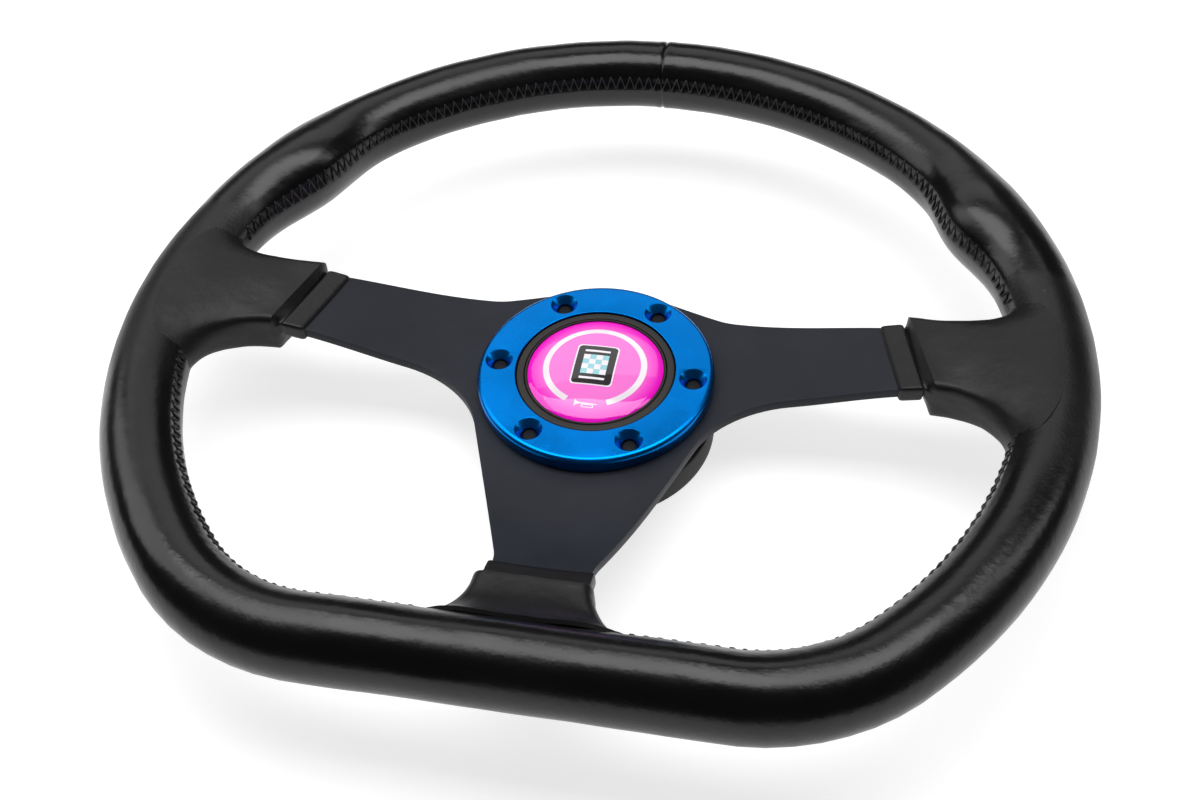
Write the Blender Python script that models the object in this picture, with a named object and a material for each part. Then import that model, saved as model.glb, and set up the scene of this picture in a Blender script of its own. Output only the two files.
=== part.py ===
"""Quick release steering wheel with a leather rim, a dished three-spoke plate and a ball-lock hub.

The wheel lies face up: +Z points to the driver, +Y to the top of the wheel.
The origin is under the middle of the wheel's outline, in the plane of the hub's rear face.
Every piece hangs from an empty on the steering axis, and is built about that axis.
Sizes are in metres.
"""
import math

import bmesh
import bpy
from mathutils import Matrix, Vector

# ---- clearances -------------------------------------------------------------------------------
GAP = 0.0003
LAND_CLEARANCE = 0.0004
WELD_GAP = 0.0006
SPRING_CLEARANCE = 0.0006

# ---- smoothness -------------------------------------------------------------------------------
ROUND_SEGMENTS = 30
SMALL_SEGMENTS = 18
BOLT_SEGMENTS = 12
BALL_SEGMENTS = 10
BALL_RINGS = 7
RIM_ARC_STEPS = 40
CORNER_STEPS = 4
FLAT_STEPS = 6
TUBE_SEGMENTS = 12
CORE_SEGMENTS = 8
FILLET_STEPS = 6

# ---- rim --------------------------------------------------------------------------------------
RIM_RADIUS = 0.1655
RIM_CENTRE_Y = 0.001
RIM_FLAT_Y = -0.136
RIM_CORNER_RADIUS = 0.068
TUBE_RADIUS = 0.0142
LEATHER_T = 0.0014
CORE_RADIUS = 0.005
GRIP_ANGLE = math.radians(31.0)
GRIP_SPREAD = math.radians(8.0)
GRIP_SWELL = 0.0022
GRIP_SHIFT = 0.0024

# ---- spoke plate ------------------------------------------------------------------------------
PLATE_T = 0.004
DISH_HEIGHT = 0.020
DISH_RUN_OUT = 0.0315
FOOT_DISH_DELAY = 0.0150
PLATE_TOP_RADIUS = 0.048
SHOULDER = (0.0447, 0.0353)
SHOULDER_FILLET = 0.040
SPOKE_TOP_SLOPE = -0.149
SPOKE_BOTTOM_Y = -0.0042
CROTCH_X = 0.0495
CROTCH_FILLET = 0.034
FOOT_HALF_WIDTH = 0.017
FOOT_TAPER = 0.38
FOOT_FILLET = 0.020
DISH_STEP = 0.012

# ---- leather straps and covers on the spokes --------------------------------------------------
STRAP_T = 0.0010
STRAP_WIDTH = 0.0081
STRAP_SLANT = math.radians(15.0)
SIDE_STRAP_INSET = 0.0587
SIDE_STRAP_Y = 0.0108
FOOT_STRAP_INSET = 0.0433
FOOT_STRAP_WIDTH = 0.0063
COVER_HALF_T = 0.0085
COVER_DROP = 0.0015
COVER_STEP = 0.0014
COVER_BEVEL = 0.0025
# Each flare point is its inset from the rim's centre line and how far the cover has widened there.
SIDE_TOP_FLARE = ((0.0375, 0.0010), (0.0285, 0.0060), (0.0100, 0.0140))
SIDE_LOW_FLARE = ((0.0375, 0.0020), (0.0285, 0.0120), (0.0100, 0.0260))
FOOT_FLARE = ((0.0290, 0.0040), (0.0220, 0.0090), (0.0100, 0.0200))

# ---- bolt circle and trim ring ----------------------------------------------------------------
BOLT_COUNT = 6
BOLT_CIRCLE_RADIUS = 0.037
BOLT_RADIUS = 0.0024
BOLT_HEAD_RADIUS = 0.0046
BOLT_HEAD_DEPTH = 0.0024
BOLT_SOCKET_RADIUS = 0.0017
BOLT_SOCKET_DEPTH = 0.0015
RING_T = 0.006
RING_OUTER_BAND = 0.0075
RING_INNER_BAND = 0.0070
RING_EDGE_RADIUS = 0.0020
SINK_RADIUS = 0.0052

# ---- quick release hub ------------------------------------------------------------------------
HUB_LENGTH = 0.0237
FLANGE_T = 0.005
FLANGE_BAND = 0.0074
SOCKET_RADIUS = 0.0235
SOCKET_DEPTH = 0.0131
WEB_T = 0.002
WIRE_HOLE_RADIUS = 0.0050
BALL_COUNT = 6
BALL_RADIUS = 0.0045
BALL_PROUD = 0.0014
BALL_Z = 0.0080
DRIVE_SLOT_WIDTH = 0.0060
DRIVE_SLOT_DEPTH = 0.0026
HUB_CHAMFER = 0.0006

# ---- release collar, its spring and its stop ring ---------------------------------------------
COLLAR_STROKE = 0.0050
COLLAR_REAR_Z = 0.0006
COLLAR_FRONT_Z = 0.0123
COLLAR_TUBE_T = 0.0031
COLLAR_TUBE_FRONT_Z = 0.0110
COLLAR_BASE_T = 0.0030
COLLAR_CHAMFER = 0.0010
STOP_RING_Z = 0.0009
STOP_RING_T = 0.0010
STOP_RING_GRIP = 0.0013
STOP_RING_REACH = 0.0029
STOP_RING_SPLIT = 0.0040
COLLAR_WIRE_RADIUS = 0.0009
COLLAR_SPRING_TURNS = 3
SPRING_SEAT_T = 0.0008

# ---- horn push --------------------------------------------------------------------------------
HORN_TRAVEL = 0.0025
BEZEL_DROP = 0.0005
CAP_RADIUS = 0.0266
CAP_T = 0.0016
EMBLEM_RADIUS = 0.0255
EMBLEM_SEAT = 0.0008
EMBLEM_EDGE_T = 0.0008
EMBLEM_DOME = 0.0029
HORN_BORE_RADIUS = 0.0255
HORN_WALL = 0.0020
HORN_POCKET_RADIUS = 0.0265
HORN_LEDGE = 0.0010
HORN_WEB_T = 0.0014
STEM_RADIUS = 0.0050
HORN_SPRING_RADIUS = 0.0090
HORN_WIRE_RADIUS = 0.0005
HORN_SPRING_TURNS = 3
CONTACT_T = 0.0008
CONTACT_RADIUS = 0.0110
FIXED_CONTACT_INNER = 0.0070
BASE_T = 0.0012
BASE_HOLE_RADIUS = 0.0045
RIVET_RADIUS = 0.0009
RIVET_HEAD_RADIUS = 0.0020
RIVET_HEAD_T = 0.0010
RIVET_CIRCLE_RADIUS = 0.0155
CONTACT_SCREW_RADIUS = 0.0014
CONTACT_SCREW_HEAD_RADIUS = 0.0028
CONTACT_SCREW_HEAD_T = 0.0016
CONTACT_SCREW_LENGTH = 0.0060
GRIP_RING_SECTION = 0.00075
GRIP_GROOVE_DEPTH = 0.0008
GRIP_RING_Z = 0.0195
GROMMET_LIP = 0.0014
GROMMET_WALL = 0.0017
GROMMET_LIP_T = 0.0009
SHARP_ANGLE = math.radians(35.0)
WELD_DISTANCE = 1e-6
SLIVER_DISTANCE = 1e-7

# ---- places that follow from the sizes above --------------------------------------------------
WEB_TOP_Z = SOCKET_DEPTH + WEB_T
FLANGE_REAR_Z = HUB_LENGTH - FLANGE_T
PLATE_REAR_Z = HUB_LENGTH + GAP
PLATE_FRONT_Z = PLATE_REAR_Z + PLATE_T
PLATE_MID_Z = PLATE_REAR_Z + PLATE_T / 2
RING_REAR_Z = PLATE_FRONT_Z + GAP
RING_FRONT_Z = RING_REAR_Z + RING_T
RIM_Z = PLATE_MID_Z + DISH_HEIGHT

RING_OUTER_RADIUS = BOLT_CIRCLE_RADIUS + RING_OUTER_BAND
RING_INNER_RADIUS = BOLT_CIRCLE_RADIUS - RING_INNER_BAND
FLANGE_RADIUS = BOLT_CIRCLE_RADIUS + FLANGE_BAND
BOLT_HOLE_RADIUS = BOLT_RADIUS + GAP
DISH_START_RADIUS = RING_OUTER_RADIUS + GAP
DISH_END_RADIUS = RIM_RADIUS - DISH_RUN_OUT

SLEEVE_RADIUS = SOCKET_RADIUS - BALL_PROUD + 2 * BALL_RADIUS
BALL_CENTRE_RADIUS = SOCKET_RADIUS - BALL_PROUD + BALL_RADIUS
BALL_HOLE_RADIUS = BALL_RADIUS + GAP
COLLAR_LAND_RADIUS = SLEEVE_RADIUS + LAND_CLEARANCE
COLLAR_TUBE_RADIUS = COLLAR_LAND_RADIUS + COLLAR_TUBE_T
COLLAR_SPRING_RADIUS = COLLAR_TUBE_RADIUS + SPRING_CLEARANCE + COLLAR_WIRE_RADIUS
COLLAR_POCKET_RADIUS = COLLAR_SPRING_RADIUS + COLLAR_WIRE_RADIUS + SPRING_CLEARANCE
COLLAR_FLOOR_Z = COLLAR_REAR_Z + COLLAR_BASE_T
STOP_RING_INNER = SLEEVE_RADIUS - STOP_RING_GRIP
STOP_RING_OUTER = SLEEVE_RADIUS + STOP_RING_REACH
STOP_RING_TOP_Z = STOP_RING_Z + STOP_RING_T
SPRING_SEAT_Z = FLANGE_REAR_Z - GAP - SPRING_SEAT_T
AXIS_Y = -(RIM_CENTRE_Y + RIM_RADIUS + RIM_FLAT_Y) / 2
AXIS_NAME = "steering_axis"

BEZEL_TOP_Z = RING_FRONT_Z - BEZEL_DROP
BEZEL_RADIUS = RING_INNER_RADIUS - GAP
CAP_ROOM_RADIUS = CAP_RADIUS + GAP
CAP_REAR_Z = BEZEL_TOP_Z - CAP_T
CAP_ROOM_FLOOR_Z = CAP_REAR_Z - HORN_TRAVEL - GAP
BARREL_RADIUS = HORN_BORE_RADIUS - GAP
BARREL_INNER_RADIUS = BARREL_RADIUS - HORN_WALL
HORN_REAR_Z = WEB_TOP_Z + RIVET_HEAD_T + 3 * GAP
BASE_TOP_Z = HORN_REAR_Z + BASE_T
FIXED_CONTACT_Z = BASE_TOP_Z + GAP
MOVING_CONTACT_Z = FIXED_CONTACT_Z + CONTACT_T + HORN_TRAVEL + GAP
HORN_WEB_Z = MOVING_CONTACT_Z + CONTACT_T + GAP
HORN_WEB_TOP_Z = HORN_WEB_Z + HORN_WEB_T
STEM_REAR_Z = MOVING_CONTACT_Z + CONTACT_T + GAP
EMBLEM_REAR_Z = BEZEL_TOP_Z - EMBLEM_SEAT + GAP


# ---- scene helpers ----------------------------------------------------------------------------
def clear_scene():
    for obj in list(bpy.data.objects):
        bpy.data.objects.remove(obj, do_unlink=True)


def add_steering_axis():
    axis = bpy.data.objects.new(AXIS_NAME, None)
    axis.location = (0.0, AXIS_Y, 0.0)
    bpy.context.scene.collection.objects.link(axis)


def make_material(name, colour, roughness, metallic):
    material = bpy.data.materials.new(name)
    material.use_nodes = True
    shader = material.node_tree.nodes["Principled BSDF"]
    shader.inputs["Base Color"].default_value = (*colour, 1.0)
    shader.inputs["Roughness"].default_value = roughness
    shader.inputs["Metallic"].default_value = metallic
    return material


def make_object(name, bm, material=None, pivot=None):
    """Hangs a bmesh on the steering axis as an object, with its origin moved to any pivot given."""
    bmesh.ops.recalc_face_normals(bm, faces=bm.faces)
    if pivot is not None:
        bmesh.ops.translate(bm, verts=bm.verts, vec=-Vector(pivot))
    mesh = bpy.data.meshes.new(name)
    bm.to_mesh(mesh)
    bm.free()
    mesh.shade_smooth()
    mesh.set_sharp_from_angle(angle=SHARP_ANGLE)
    obj = bpy.data.objects.new(name, mesh)
    obj.parent = bpy.data.objects[AXIS_NAME]
    if pivot is not None:
        obj.location = pivot
    if material is not None:
        mesh.materials.append(material)
    bpy.context.scene.collection.objects.link(obj)
    return obj


def make_cutter(name, bm):
    cutter = make_object(name, bm)
    cutter.hide_render = True
    cutter.display_type = "WIRE"
    return cutter


def cut(target, cutter):
    modifier = target.modifiers.new("cut_" + cutter.name, "BOOLEAN")
    modifier.operation = "DIFFERENCE"
    modifier.solver = "EXACT"
    modifier.object = cutter


# ---- shape helpers ----------------------------------------------------------------------------
def turned(profile, closed=True, segments=ROUND_SEGMENTS):
    """Spins a profile of (radius, height) points about the Z axis."""
    bm = bmesh.new()
    verts = [bm.verts.new((radius, 0.0, height)) for radius, height in profile]
    edges = [bm.edges.new(pair) for pair in zip(verts, verts[1:])]
    if closed:
        edges.append(bm.edges.new((verts[-1], verts[0])))
    bmesh.ops.spin(bm, geom=verts + edges, axis=(0, 0, 1), cent=(0, 0, 0),
                   angle=2 * math.pi, steps=segments, use_merge=True)
    bmesh.ops.remove_doubles(bm, verts=bm.verts, dist=WELD_DISTANCE)
    bmesh.ops.dissolve_degenerate(bm, edges=bm.edges, dist=SLIVER_DISTANCE)
    return bm


def add_cylinder(bm, radius_low, radius_high, low, high, matrix=None, segments=BOLT_SEGMENTS):
    place = Matrix.Translation((0, 0, (low + high) / 2))
    if matrix is not None:
        place = matrix @ place
    bmesh.ops.create_cone(bm, cap_ends=True, segments=segments, radius1=radius_low,
                          radius2=radius_high, depth=high - low, matrix=place)


def around(count, offset=0.0):
    return [offset + 2 * math.pi * index / count for index in range(count)]


def at_radius(angle, radius):
    return Matrix.Rotation(angle, 4, "Z") @ Matrix.Translation((radius, 0, 0))


def rounded_outline(corners):
    """Rounds each (x, y, fillet radius) corner of a polygon with an arc."""
    points = []
    for index, (x, y, radius) in enumerate(corners):
        corner = Vector((x, y))
        before = Vector(corners[index - 1][:2]) - corner
        after = Vector(corners[(index + 1) % len(corners)][:2]) - corner
        if radius == 0.0:
            points.append(corner)
            continue
        before.normalize()
        after.normalize()
        half = before.angle(after) / 2
        centre = corner + (before + after).normalized() * (radius / math.sin(half))
        reach = radius / math.tan(half)
        start = corner + before * reach - centre
        end = corner + after * reach - centre
        turn = start.angle_signed(end)
        for step in range(FILLET_STEPS + 1):
            angle = -turn * step / FILLET_STEPS
            points.append(centre + Matrix.Rotation(angle, 2) @ start)
    return points


def helix(radius, low, high, turns, wire_radius, steps_per_turn=24, sides=6):
    """A coil spring of round wire, with capped ends."""
    bm = bmesh.new()
    rings = []
    total = turns * steps_per_turn
    climb = math.atan2((high - low) / turns, 2 * math.pi * radius)
    for step in range(total + 1):
        angle = 2 * math.pi * step / steps_per_turn
        centre = Vector((radius, 0, low + (high - low) * step / total))
        tilt = Matrix.Rotation(climb, 3, "X")
        spin = Matrix.Rotation(angle, 3, "Z")
        ring = []
        for side in range(sides):
            around_wire = 2 * math.pi * side / sides
            offset = Vector((math.cos(around_wire), 0, math.sin(around_wire))) * wire_radius
            ring.append(bm.verts.new(spin @ (centre + tilt @ offset)))
        rings.append(ring)
    join_rings(bm, rings, closed=False)
    bm.faces.new(rings[0])
    bm.faces.new(rings[-1])
    return bm


def join_rings(bm, rings, closed):
    last = len(rings) if closed else len(rings) - 1
    for index in range(last):
        ring = rings[index]
        following = rings[(index + 1) % len(rings)]
        for side in range(len(ring)):
            other = (side + 1) % len(ring)
            bm.faces.new((ring[side], ring[other], following[other], following[side]))


# ---- rim path ---------------------------------------------------------------------------------
def rim_stations():
    """The D-shaped centre line as (point, outward direction), anticlockwise from lower right."""
    centre = Vector((0, RIM_CENTRE_Y))
    corner_y = RIM_FLAT_Y + RIM_CORNER_RADIUS
    between = RIM_RADIUS - RIM_CORNER_RADIUS
    corner_x = math.sqrt(between ** 2 - (corner_y - RIM_CENTRE_Y) ** 2)
    start = math.atan2(corner_y - RIM_CENTRE_Y, corner_x)
    sweep = math.pi - 2 * start
    stations = []

    def arc(middle, radius, first, angle, steps):
        for step in range(steps):
            turn = first + angle * step / steps
            outward = Vector((math.cos(turn), math.sin(turn)))
            stations.append((middle + outward * radius, outward))

    arc(centre, RIM_RADIUS, start, sweep, RIM_ARC_STEPS)
    corner_turn = math.pi / 2 + start
    arc(Vector((-corner_x, corner_y)), RIM_CORNER_RADIUS, math.pi - start, corner_turn, CORNER_STEPS)
    for step in range(FLAT_STEPS):
        x = -corner_x + 2 * corner_x * step / FLAT_STEPS
        stations.append((Vector((x, RIM_FLAT_Y)), Vector((0, -1))))
    arc(Vector((corner_x, corner_y)), RIM_CORNER_RADIUS, -math.pi / 2, corner_turn, CORNER_STEPS)
    return stations


def grip_share(point):
    """How much of the thumb grip's swelling a place on the rim has, from 0 to 1."""
    angle = math.atan2(point.y, abs(point.x))
    return math.exp(-((angle - GRIP_ANGLE) / GRIP_SPREAD) ** 2)


def add_hoop(bm, shrink, segments, swells=True, radius=TUBE_RADIUS):
    """Adds one closed tube surface along the rim, `shrink` inside the given radius."""
    rings = []
    for point, outward in rim_stations():
        share = grip_share(point) if swells else 0.0
        size = radius + GRIP_SWELL * share - shrink
        centre = point - outward * GRIP_SHIFT * share
        ring = []
        for side in range(segments):
            angle = 2 * math.pi * (side + 0.5) / segments
            flat = centre + outward * size * math.cos(angle)
            ring.append(bm.verts.new((flat.x, flat.y, RIM_Z + size * math.sin(angle))))
        rings.append(ring)
    join_rings(bm, rings, closed=True)


# ---- spoke plate shape ------------------------------------------------------------------------
def dish(x, y):
    """Height of the plate's middle surface above its flat hub; the bottom spoke rises later."""
    radius = math.hypot(x, y)
    start = DISH_START_RADIUS
    if y < 0.0:
        start += FOOT_DISH_DELAY * (y / radius) ** 2
    share = (radius - start) / (DISH_END_RADIUS - start)
    share = min(max(share, 0.0), 1.0)
    return DISH_HEIGHT * share * share * (3 - 2 * share)


def plate_outline(grow, end_gap):
    """The plate's outline grown all round, with spoke ends `end_gap` short of the rim's core."""
    hoop = RIM_RADIUS - CORE_RADIUS - end_gap
    shoulder_x, shoulder_y = SHOULDER
    roof_lean = math.acos(PLATE_TOP_RADIUS / math.hypot(*SHOULDER))
    roof_normal = math.atan2(shoulder_y, shoulder_x) + roof_lean
    roof_y = PLATE_TOP_RADIUS / math.sin(roof_normal) + grow
    top_y = shoulder_y + grow
    low_y = SPOKE_BOTTOM_Y - grow
    end_x = hoop
    end_top = top_y + SPOKE_TOP_SLOPE * (end_x - shoulder_x)
    foot_x = FOOT_HALF_WIDTH + grow
    crotch_x = CROTCH_X + grow
    narrow_y = low_y - (crotch_x - foot_x) / FOOT_TAPER
    foot_end = RIM_FLAT_Y + CORE_RADIUS + end_gap
    half = [
        (shoulder_x, top_y, SHOULDER_FILLET),
        (end_x - (RIM_RADIUS - math.sqrt(RIM_RADIUS ** 2 - end_top ** 2)), end_top, 0.0),
        (end_x, low_y, 0.0),
        (crotch_x, low_y, CROTCH_FILLET),
        (foot_x, narrow_y, FOOT_FILLET),
        (foot_x, foot_end, 0.0),
    ]
    mirrored = [(-x, y, radius) for x, y, radius in reversed(half)]
    return rounded_outline([(0.0, roof_y, PLATE_TOP_RADIUS)] + half + mirrored)


def score(bm, point, direction, clear_beyond=False):
    """Cuts every face along a plane and, where asked, takes away what lies beyond it."""
    everything = list(bm.verts) + list(bm.edges) + list(bm.faces)
    bmesh.ops.bisect_plane(bm, geom=everything, plane_co=point, plane_no=direction, dist=SLIVER_DISTANCE,
                           clear_outer=clear_beyond)


def plate_slab(grow, thickness, end_gap):
    """The dished plate as a solid slab around its middle surface."""
    bm = bmesh.new()
    floor = PLATE_MID_Z - thickness / 2
    verts = [bm.verts.new((point.x, point.y, floor)) for point in plate_outline(grow, end_gap)]
    face = bm.faces.new(verts)
    extruded = bmesh.ops.extrude_face_region(bm, geom=[face])
    lifted = [item for item in extruded["geom"] if isinstance(item, bmesh.types.BMVert)]
    bmesh.ops.translate(bm, verts=lifted, vec=(0, 0, thickness))
    for eighth in (0, 1, 3, 4, 5, 6, 7):
        direction = Vector((math.cos(math.pi / 4 * eighth), math.sin(math.pi / 4 * eighth), 0))
        score(bm, direction * DISH_START_RADIUS, direction)
    steps = int((DISH_END_RADIUS - DISH_START_RADIUS) / DISH_STEP) + 2
    for index in range(1, steps):
        for direction in (Vector((1, 0, 0)), Vector((-1, 0, 0)), Vector((0, -1, 0))):
            score(bm, direction * (DISH_START_RADIUS + DISH_STEP * index), direction)
    bmesh.ops.triangulate(bm, faces=bm.faces)
    for vert in bm.verts:
        vert.co.z += dish(vert.co.x, vert.co.y)
    return bm


def slice_slab(bm, point, direction, length):
    """Keeps the stretch of a slab that starts at a point and runs `length` along a direction."""
    for place, normal in ((point, -direction), (point + direction * length, direction)):
        score(bm, place, normal, clear_beyond=True)
        rim = [edge for edge in bm.edges if edge.is_boundary]
        bmesh.ops.holes_fill(bm, edges=rim)
    return bm


# ---- rim and spokes ---------------------------------------------------------------------------
def build_rim(materials):
    core = bmesh.new()
    add_hoop(core, 0.0, CORE_SEGMENTS, swells=False, radius=CORE_RADIUS)
    make_object("rim_core", core, materials["steel"])

    slot_cutter = make_cutter("spoke_slots", plate_slab(GAP, PLATE_T + 2 * GAP, -CORE_RADIUS / 2))

    foam = bmesh.new()
    add_hoop(foam, LEATHER_T + GAP, CORE_SEGMENTS)
    add_hoop(foam, -GAP, CORE_SEGMENTS, swells=False, radius=CORE_RADIUS)
    cut(make_shell("rim_foam", foam, materials["foam"]), slot_cutter)

    leather = bmesh.new()
    add_hoop(leather, 0.0, TUBE_SEGMENTS)
    add_hoop(leather, LEATHER_T, CORE_SEGMENTS)
    cut(make_shell("rim_leather", leather, materials["leather"]), slot_cutter)
    return slot_cutter


def make_shell(name, bm, material):
    """Makes a tube wall from an outer and an inner surface, with the inner one facing inwards."""
    bmesh.ops.recalc_face_normals(bm, faces=bm.faces)
    bm.faces.ensure_lookup_table()
    inner = bm.faces[len(bm.faces) - CORE_SEGMENTS * len(rim_stations()):]
    obj = make_object(name, bm.copy(), material)
    bm.free()
    for polygon in obj.data.polygons[len(obj.data.polygons) - len(inner):]:
        polygon.flip()
    obj.data.update()
    return obj


def side_strap_frame(side):
    """The strap's start and its direction towards the rim on a side spoke."""
    point = Vector((side * (RIM_RADIUS - SIDE_STRAP_INSET), SIDE_STRAP_Y, 0))
    direction = Vector((side * math.cos(STRAP_SLANT), math.sin(STRAP_SLANT), 0))
    return point, direction


def foot_strap_frame():
    return Vector((0, RIM_FLAT_Y + FOOT_STRAP_INSET, 0)), Vector((0, -1, 0))


def build_strap(name, point, direction, width, slot_cutter, material):
    grow = GAP + STRAP_T
    slab = slice_slab(plate_slab(grow, PLATE_T + 2 * grow, WELD_GAP), point, direction, width)
    cut(make_object(name, slab, material), slot_cutter)


def build_cover(name, outline, direction, slot_cutter, rim_cutter, material):
    """A thick leather cover with soft edges that follows the dish, cut around the plate and the rim."""
    bm = bmesh.new()
    floor = PLATE_MID_Z - COVER_DROP - COVER_HALF_T
    face = bm.faces.new([bm.verts.new((point[0], point[1], floor)) for point in outline])
    extruded = bmesh.ops.extrude_face_region(bm, geom=[face])
    lifted = [item for item in extruded["geom"] if isinstance(item, bmesh.types.BMVert)]
    bmesh.ops.translate(bm, verts=lifted, vec=(0, 0, 2 * COVER_HALF_T))
    flat_edges = [edge for edge in bm.edges if abs(edge.verts[0].co.z - edge.verts[1].co.z) < GAP]
    bmesh.ops.bevel(bm, geom=flat_edges, offset=COVER_BEVEL, segments=2, profile=0.5,
                    affect="EDGES", clamp_overlap=True)
    for inset, _ in FOOT_FLARE[:2]:
        reach = RIM_RADIUS if direction.x else -RIM_FLAT_Y
        score(bm, direction * (reach - inset), direction)
    bmesh.ops.triangulate(bm, faces=bm.faces)
    for vert in bm.verts:
        vert.co.z += dish(vert.co.x, vert.co.y)
    cover = make_object(name, bm, material)
    cut(cover, slot_cutter)
    cut(cover, rim_cutter)


def side_cover_outline(side):
    point, direction = side_strap_frame(side)
    start = point + direction * (STRAP_WIDTH + GAP)
    along = Vector((-direction.y * side, direction.x * side))
    top_y = SHOULDER[1] + SPOKE_TOP_SLOPE * (start.x * side - SHOULDER[0]) + COVER_STEP
    low_y = SPOKE_BOTTOM_Y - COVER_STEP
    near = [start.xy + along * ((y - start.y) / along.y) for y in (low_y, top_y)]
    top = [(side * (RIM_RADIUS - inset), top_y + wider) for inset, wider in SIDE_TOP_FLARE]
    low = [(side * (RIM_RADIUS - inset), low_y - wider) for inset, wider in SIDE_LOW_FLARE]
    return near + top + low[::-1]


def foot_cover_outline():
    point, direction = foot_strap_frame()
    start = point + direction * (FOOT_STRAP_WIDTH + GAP)
    half = FOOT_HALF_WIDTH + COVER_STEP
    right = [(half + wider, RIM_FLAT_Y + inset) for inset, wider in FOOT_FLARE]
    left = [(-x, y) for x, y in right]
    return [(half, start.y)] + right + left[::-1] + [(-half, start.y)]


def build_spokes(materials, slot_cutter):
    plate = make_object("spoke_plate", plate_slab(0.0, PLATE_T, WELD_GAP), materials["spokes"])
    holes = bmesh.new()
    add_cylinder(holes, HORN_BORE_RADIUS, HORN_BORE_RADIUS, PLATE_REAR_Z - PLATE_T,
                 PLATE_FRONT_Z + PLATE_T, segments=ROUND_SEGMENTS)
    for angle in around(BOLT_COUNT):
        add_cylinder(holes, BOLT_HOLE_RADIUS, BOLT_HOLE_RADIUS, PLATE_REAR_Z - PLATE_T,
                     PLATE_FRONT_Z + PLATE_T, at_radius(angle, BOLT_CIRCLE_RADIUS))
    cut(plate, make_cutter("plate_holes", holes))

    solid_rim = bmesh.new()
    add_hoop(solid_rim, -GAP, TUBE_SEGMENTS)
    rim_cutter = make_cutter("rim_space", solid_rim)
    for name, side in (("left", -1), ("right", 1)):
        point, direction = side_strap_frame(side)
        build_strap("strap_" + name, point, direction, STRAP_WIDTH, slot_cutter, materials["leather"])
        build_cover("cover_" + name, side_cover_outline(side), Vector((side, 0, 0)), slot_cutter,
                    rim_cutter, materials["leather"])
    point, direction = foot_strap_frame()
    build_strap("strap_bottom", point, direction, FOOT_STRAP_WIDTH, slot_cutter, materials["leather"])
    build_cover("cover_bottom", foot_cover_outline(), direction, slot_cutter, rim_cutter,
                materials["leather"])


# ---- trim ring and its screws -----------------------------------------------------------------
def build_trim_ring(materials):
    corner = (RING_OUTER_RADIUS - RING_EDGE_RADIUS, RING_FRONT_Z - RING_EDGE_RADIUS)
    edge = []
    for step in range(4):
        angle = math.pi / 2 * step / 3
        edge.append((corner[0] + RING_EDGE_RADIUS * math.cos(angle),
                     corner[1] + RING_EDGE_RADIUS * math.sin(angle)))
    profile = [(RING_INNER_RADIUS, RING_REAR_Z), (RING_OUTER_RADIUS, RING_REAR_Z)]
    profile += edge + [(RING_INNER_RADIUS, RING_FRONT_Z)]
    ring = make_object("trim_ring", turned(profile), materials["blue"])
    holes = bmesh.new()
    sink_depth = SINK_RADIUS - BOLT_HOLE_RADIUS
    for angle in around(BOLT_COUNT):
        profile = [(0.0, RING_REAR_Z - RING_T), (BOLT_HOLE_RADIUS, RING_REAR_Z - RING_T),
                   (BOLT_HOLE_RADIUS, RING_FRONT_Z - sink_depth), (SINK_RADIUS, RING_FRONT_Z),
                   (SINK_RADIUS, RING_FRONT_Z + RING_T), (0.0, RING_FRONT_Z + RING_T)]
        add_turned(holes, profile, at_radius(angle, BOLT_CIRCLE_RADIUS))
    cut(ring, make_cutter("ring_holes", holes))


def add_turned(bm, profile, matrix, segments=BOLT_SEGMENTS):
    """Adds a turned solid to a bmesh at a place given by a matrix."""
    piece = turned(profile, closed=False, segments=segments)
    bmesh.ops.transform(piece, matrix=matrix, verts=piece.verts)
    mesh = bpy.data.meshes.new("turned_piece")
    bmesh.ops.recalc_face_normals(piece, faces=piece.faces)
    piece.to_mesh(mesh)
    piece.free()
    bm.from_mesh(mesh)
    bpy.data.meshes.remove(mesh)


def build_hub_screws(materials):
    """Countersunk screws from behind, through flange and plate into the trim ring's threads."""
    head_z = FLANGE_REAR_Z + GAP
    tip_z = RING_REAR_Z + RING_T - (SINK_RADIUS - BOLT_HOLE_RADIUS) - 2 * GAP
    for index, angle in enumerate(around(BOLT_COUNT)):
        bm = bmesh.new()
        profile = [(0.0, head_z), (BOLT_HEAD_RADIUS, head_z), (BOLT_RADIUS, head_z + BOLT_HEAD_DEPTH),
                   (BOLT_RADIUS, tip_z), (0.0, tip_z)]
        place = at_radius(angle, BOLT_CIRCLE_RADIUS)
        add_turned(bm, profile, place)
        screw = make_object("hub_screw_%d" % (index + 1), bm, materials["steel"])
        socket = bmesh.new()
        add_cylinder(socket, BOLT_SOCKET_RADIUS, BOLT_SOCKET_RADIUS, head_z - BOLT_SOCKET_DEPTH,
                     head_z + BOLT_SOCKET_DEPTH, place, segments=6)
        cut(screw, make_cutter("screw_socket_%d" % (index + 1), socket))


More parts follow.
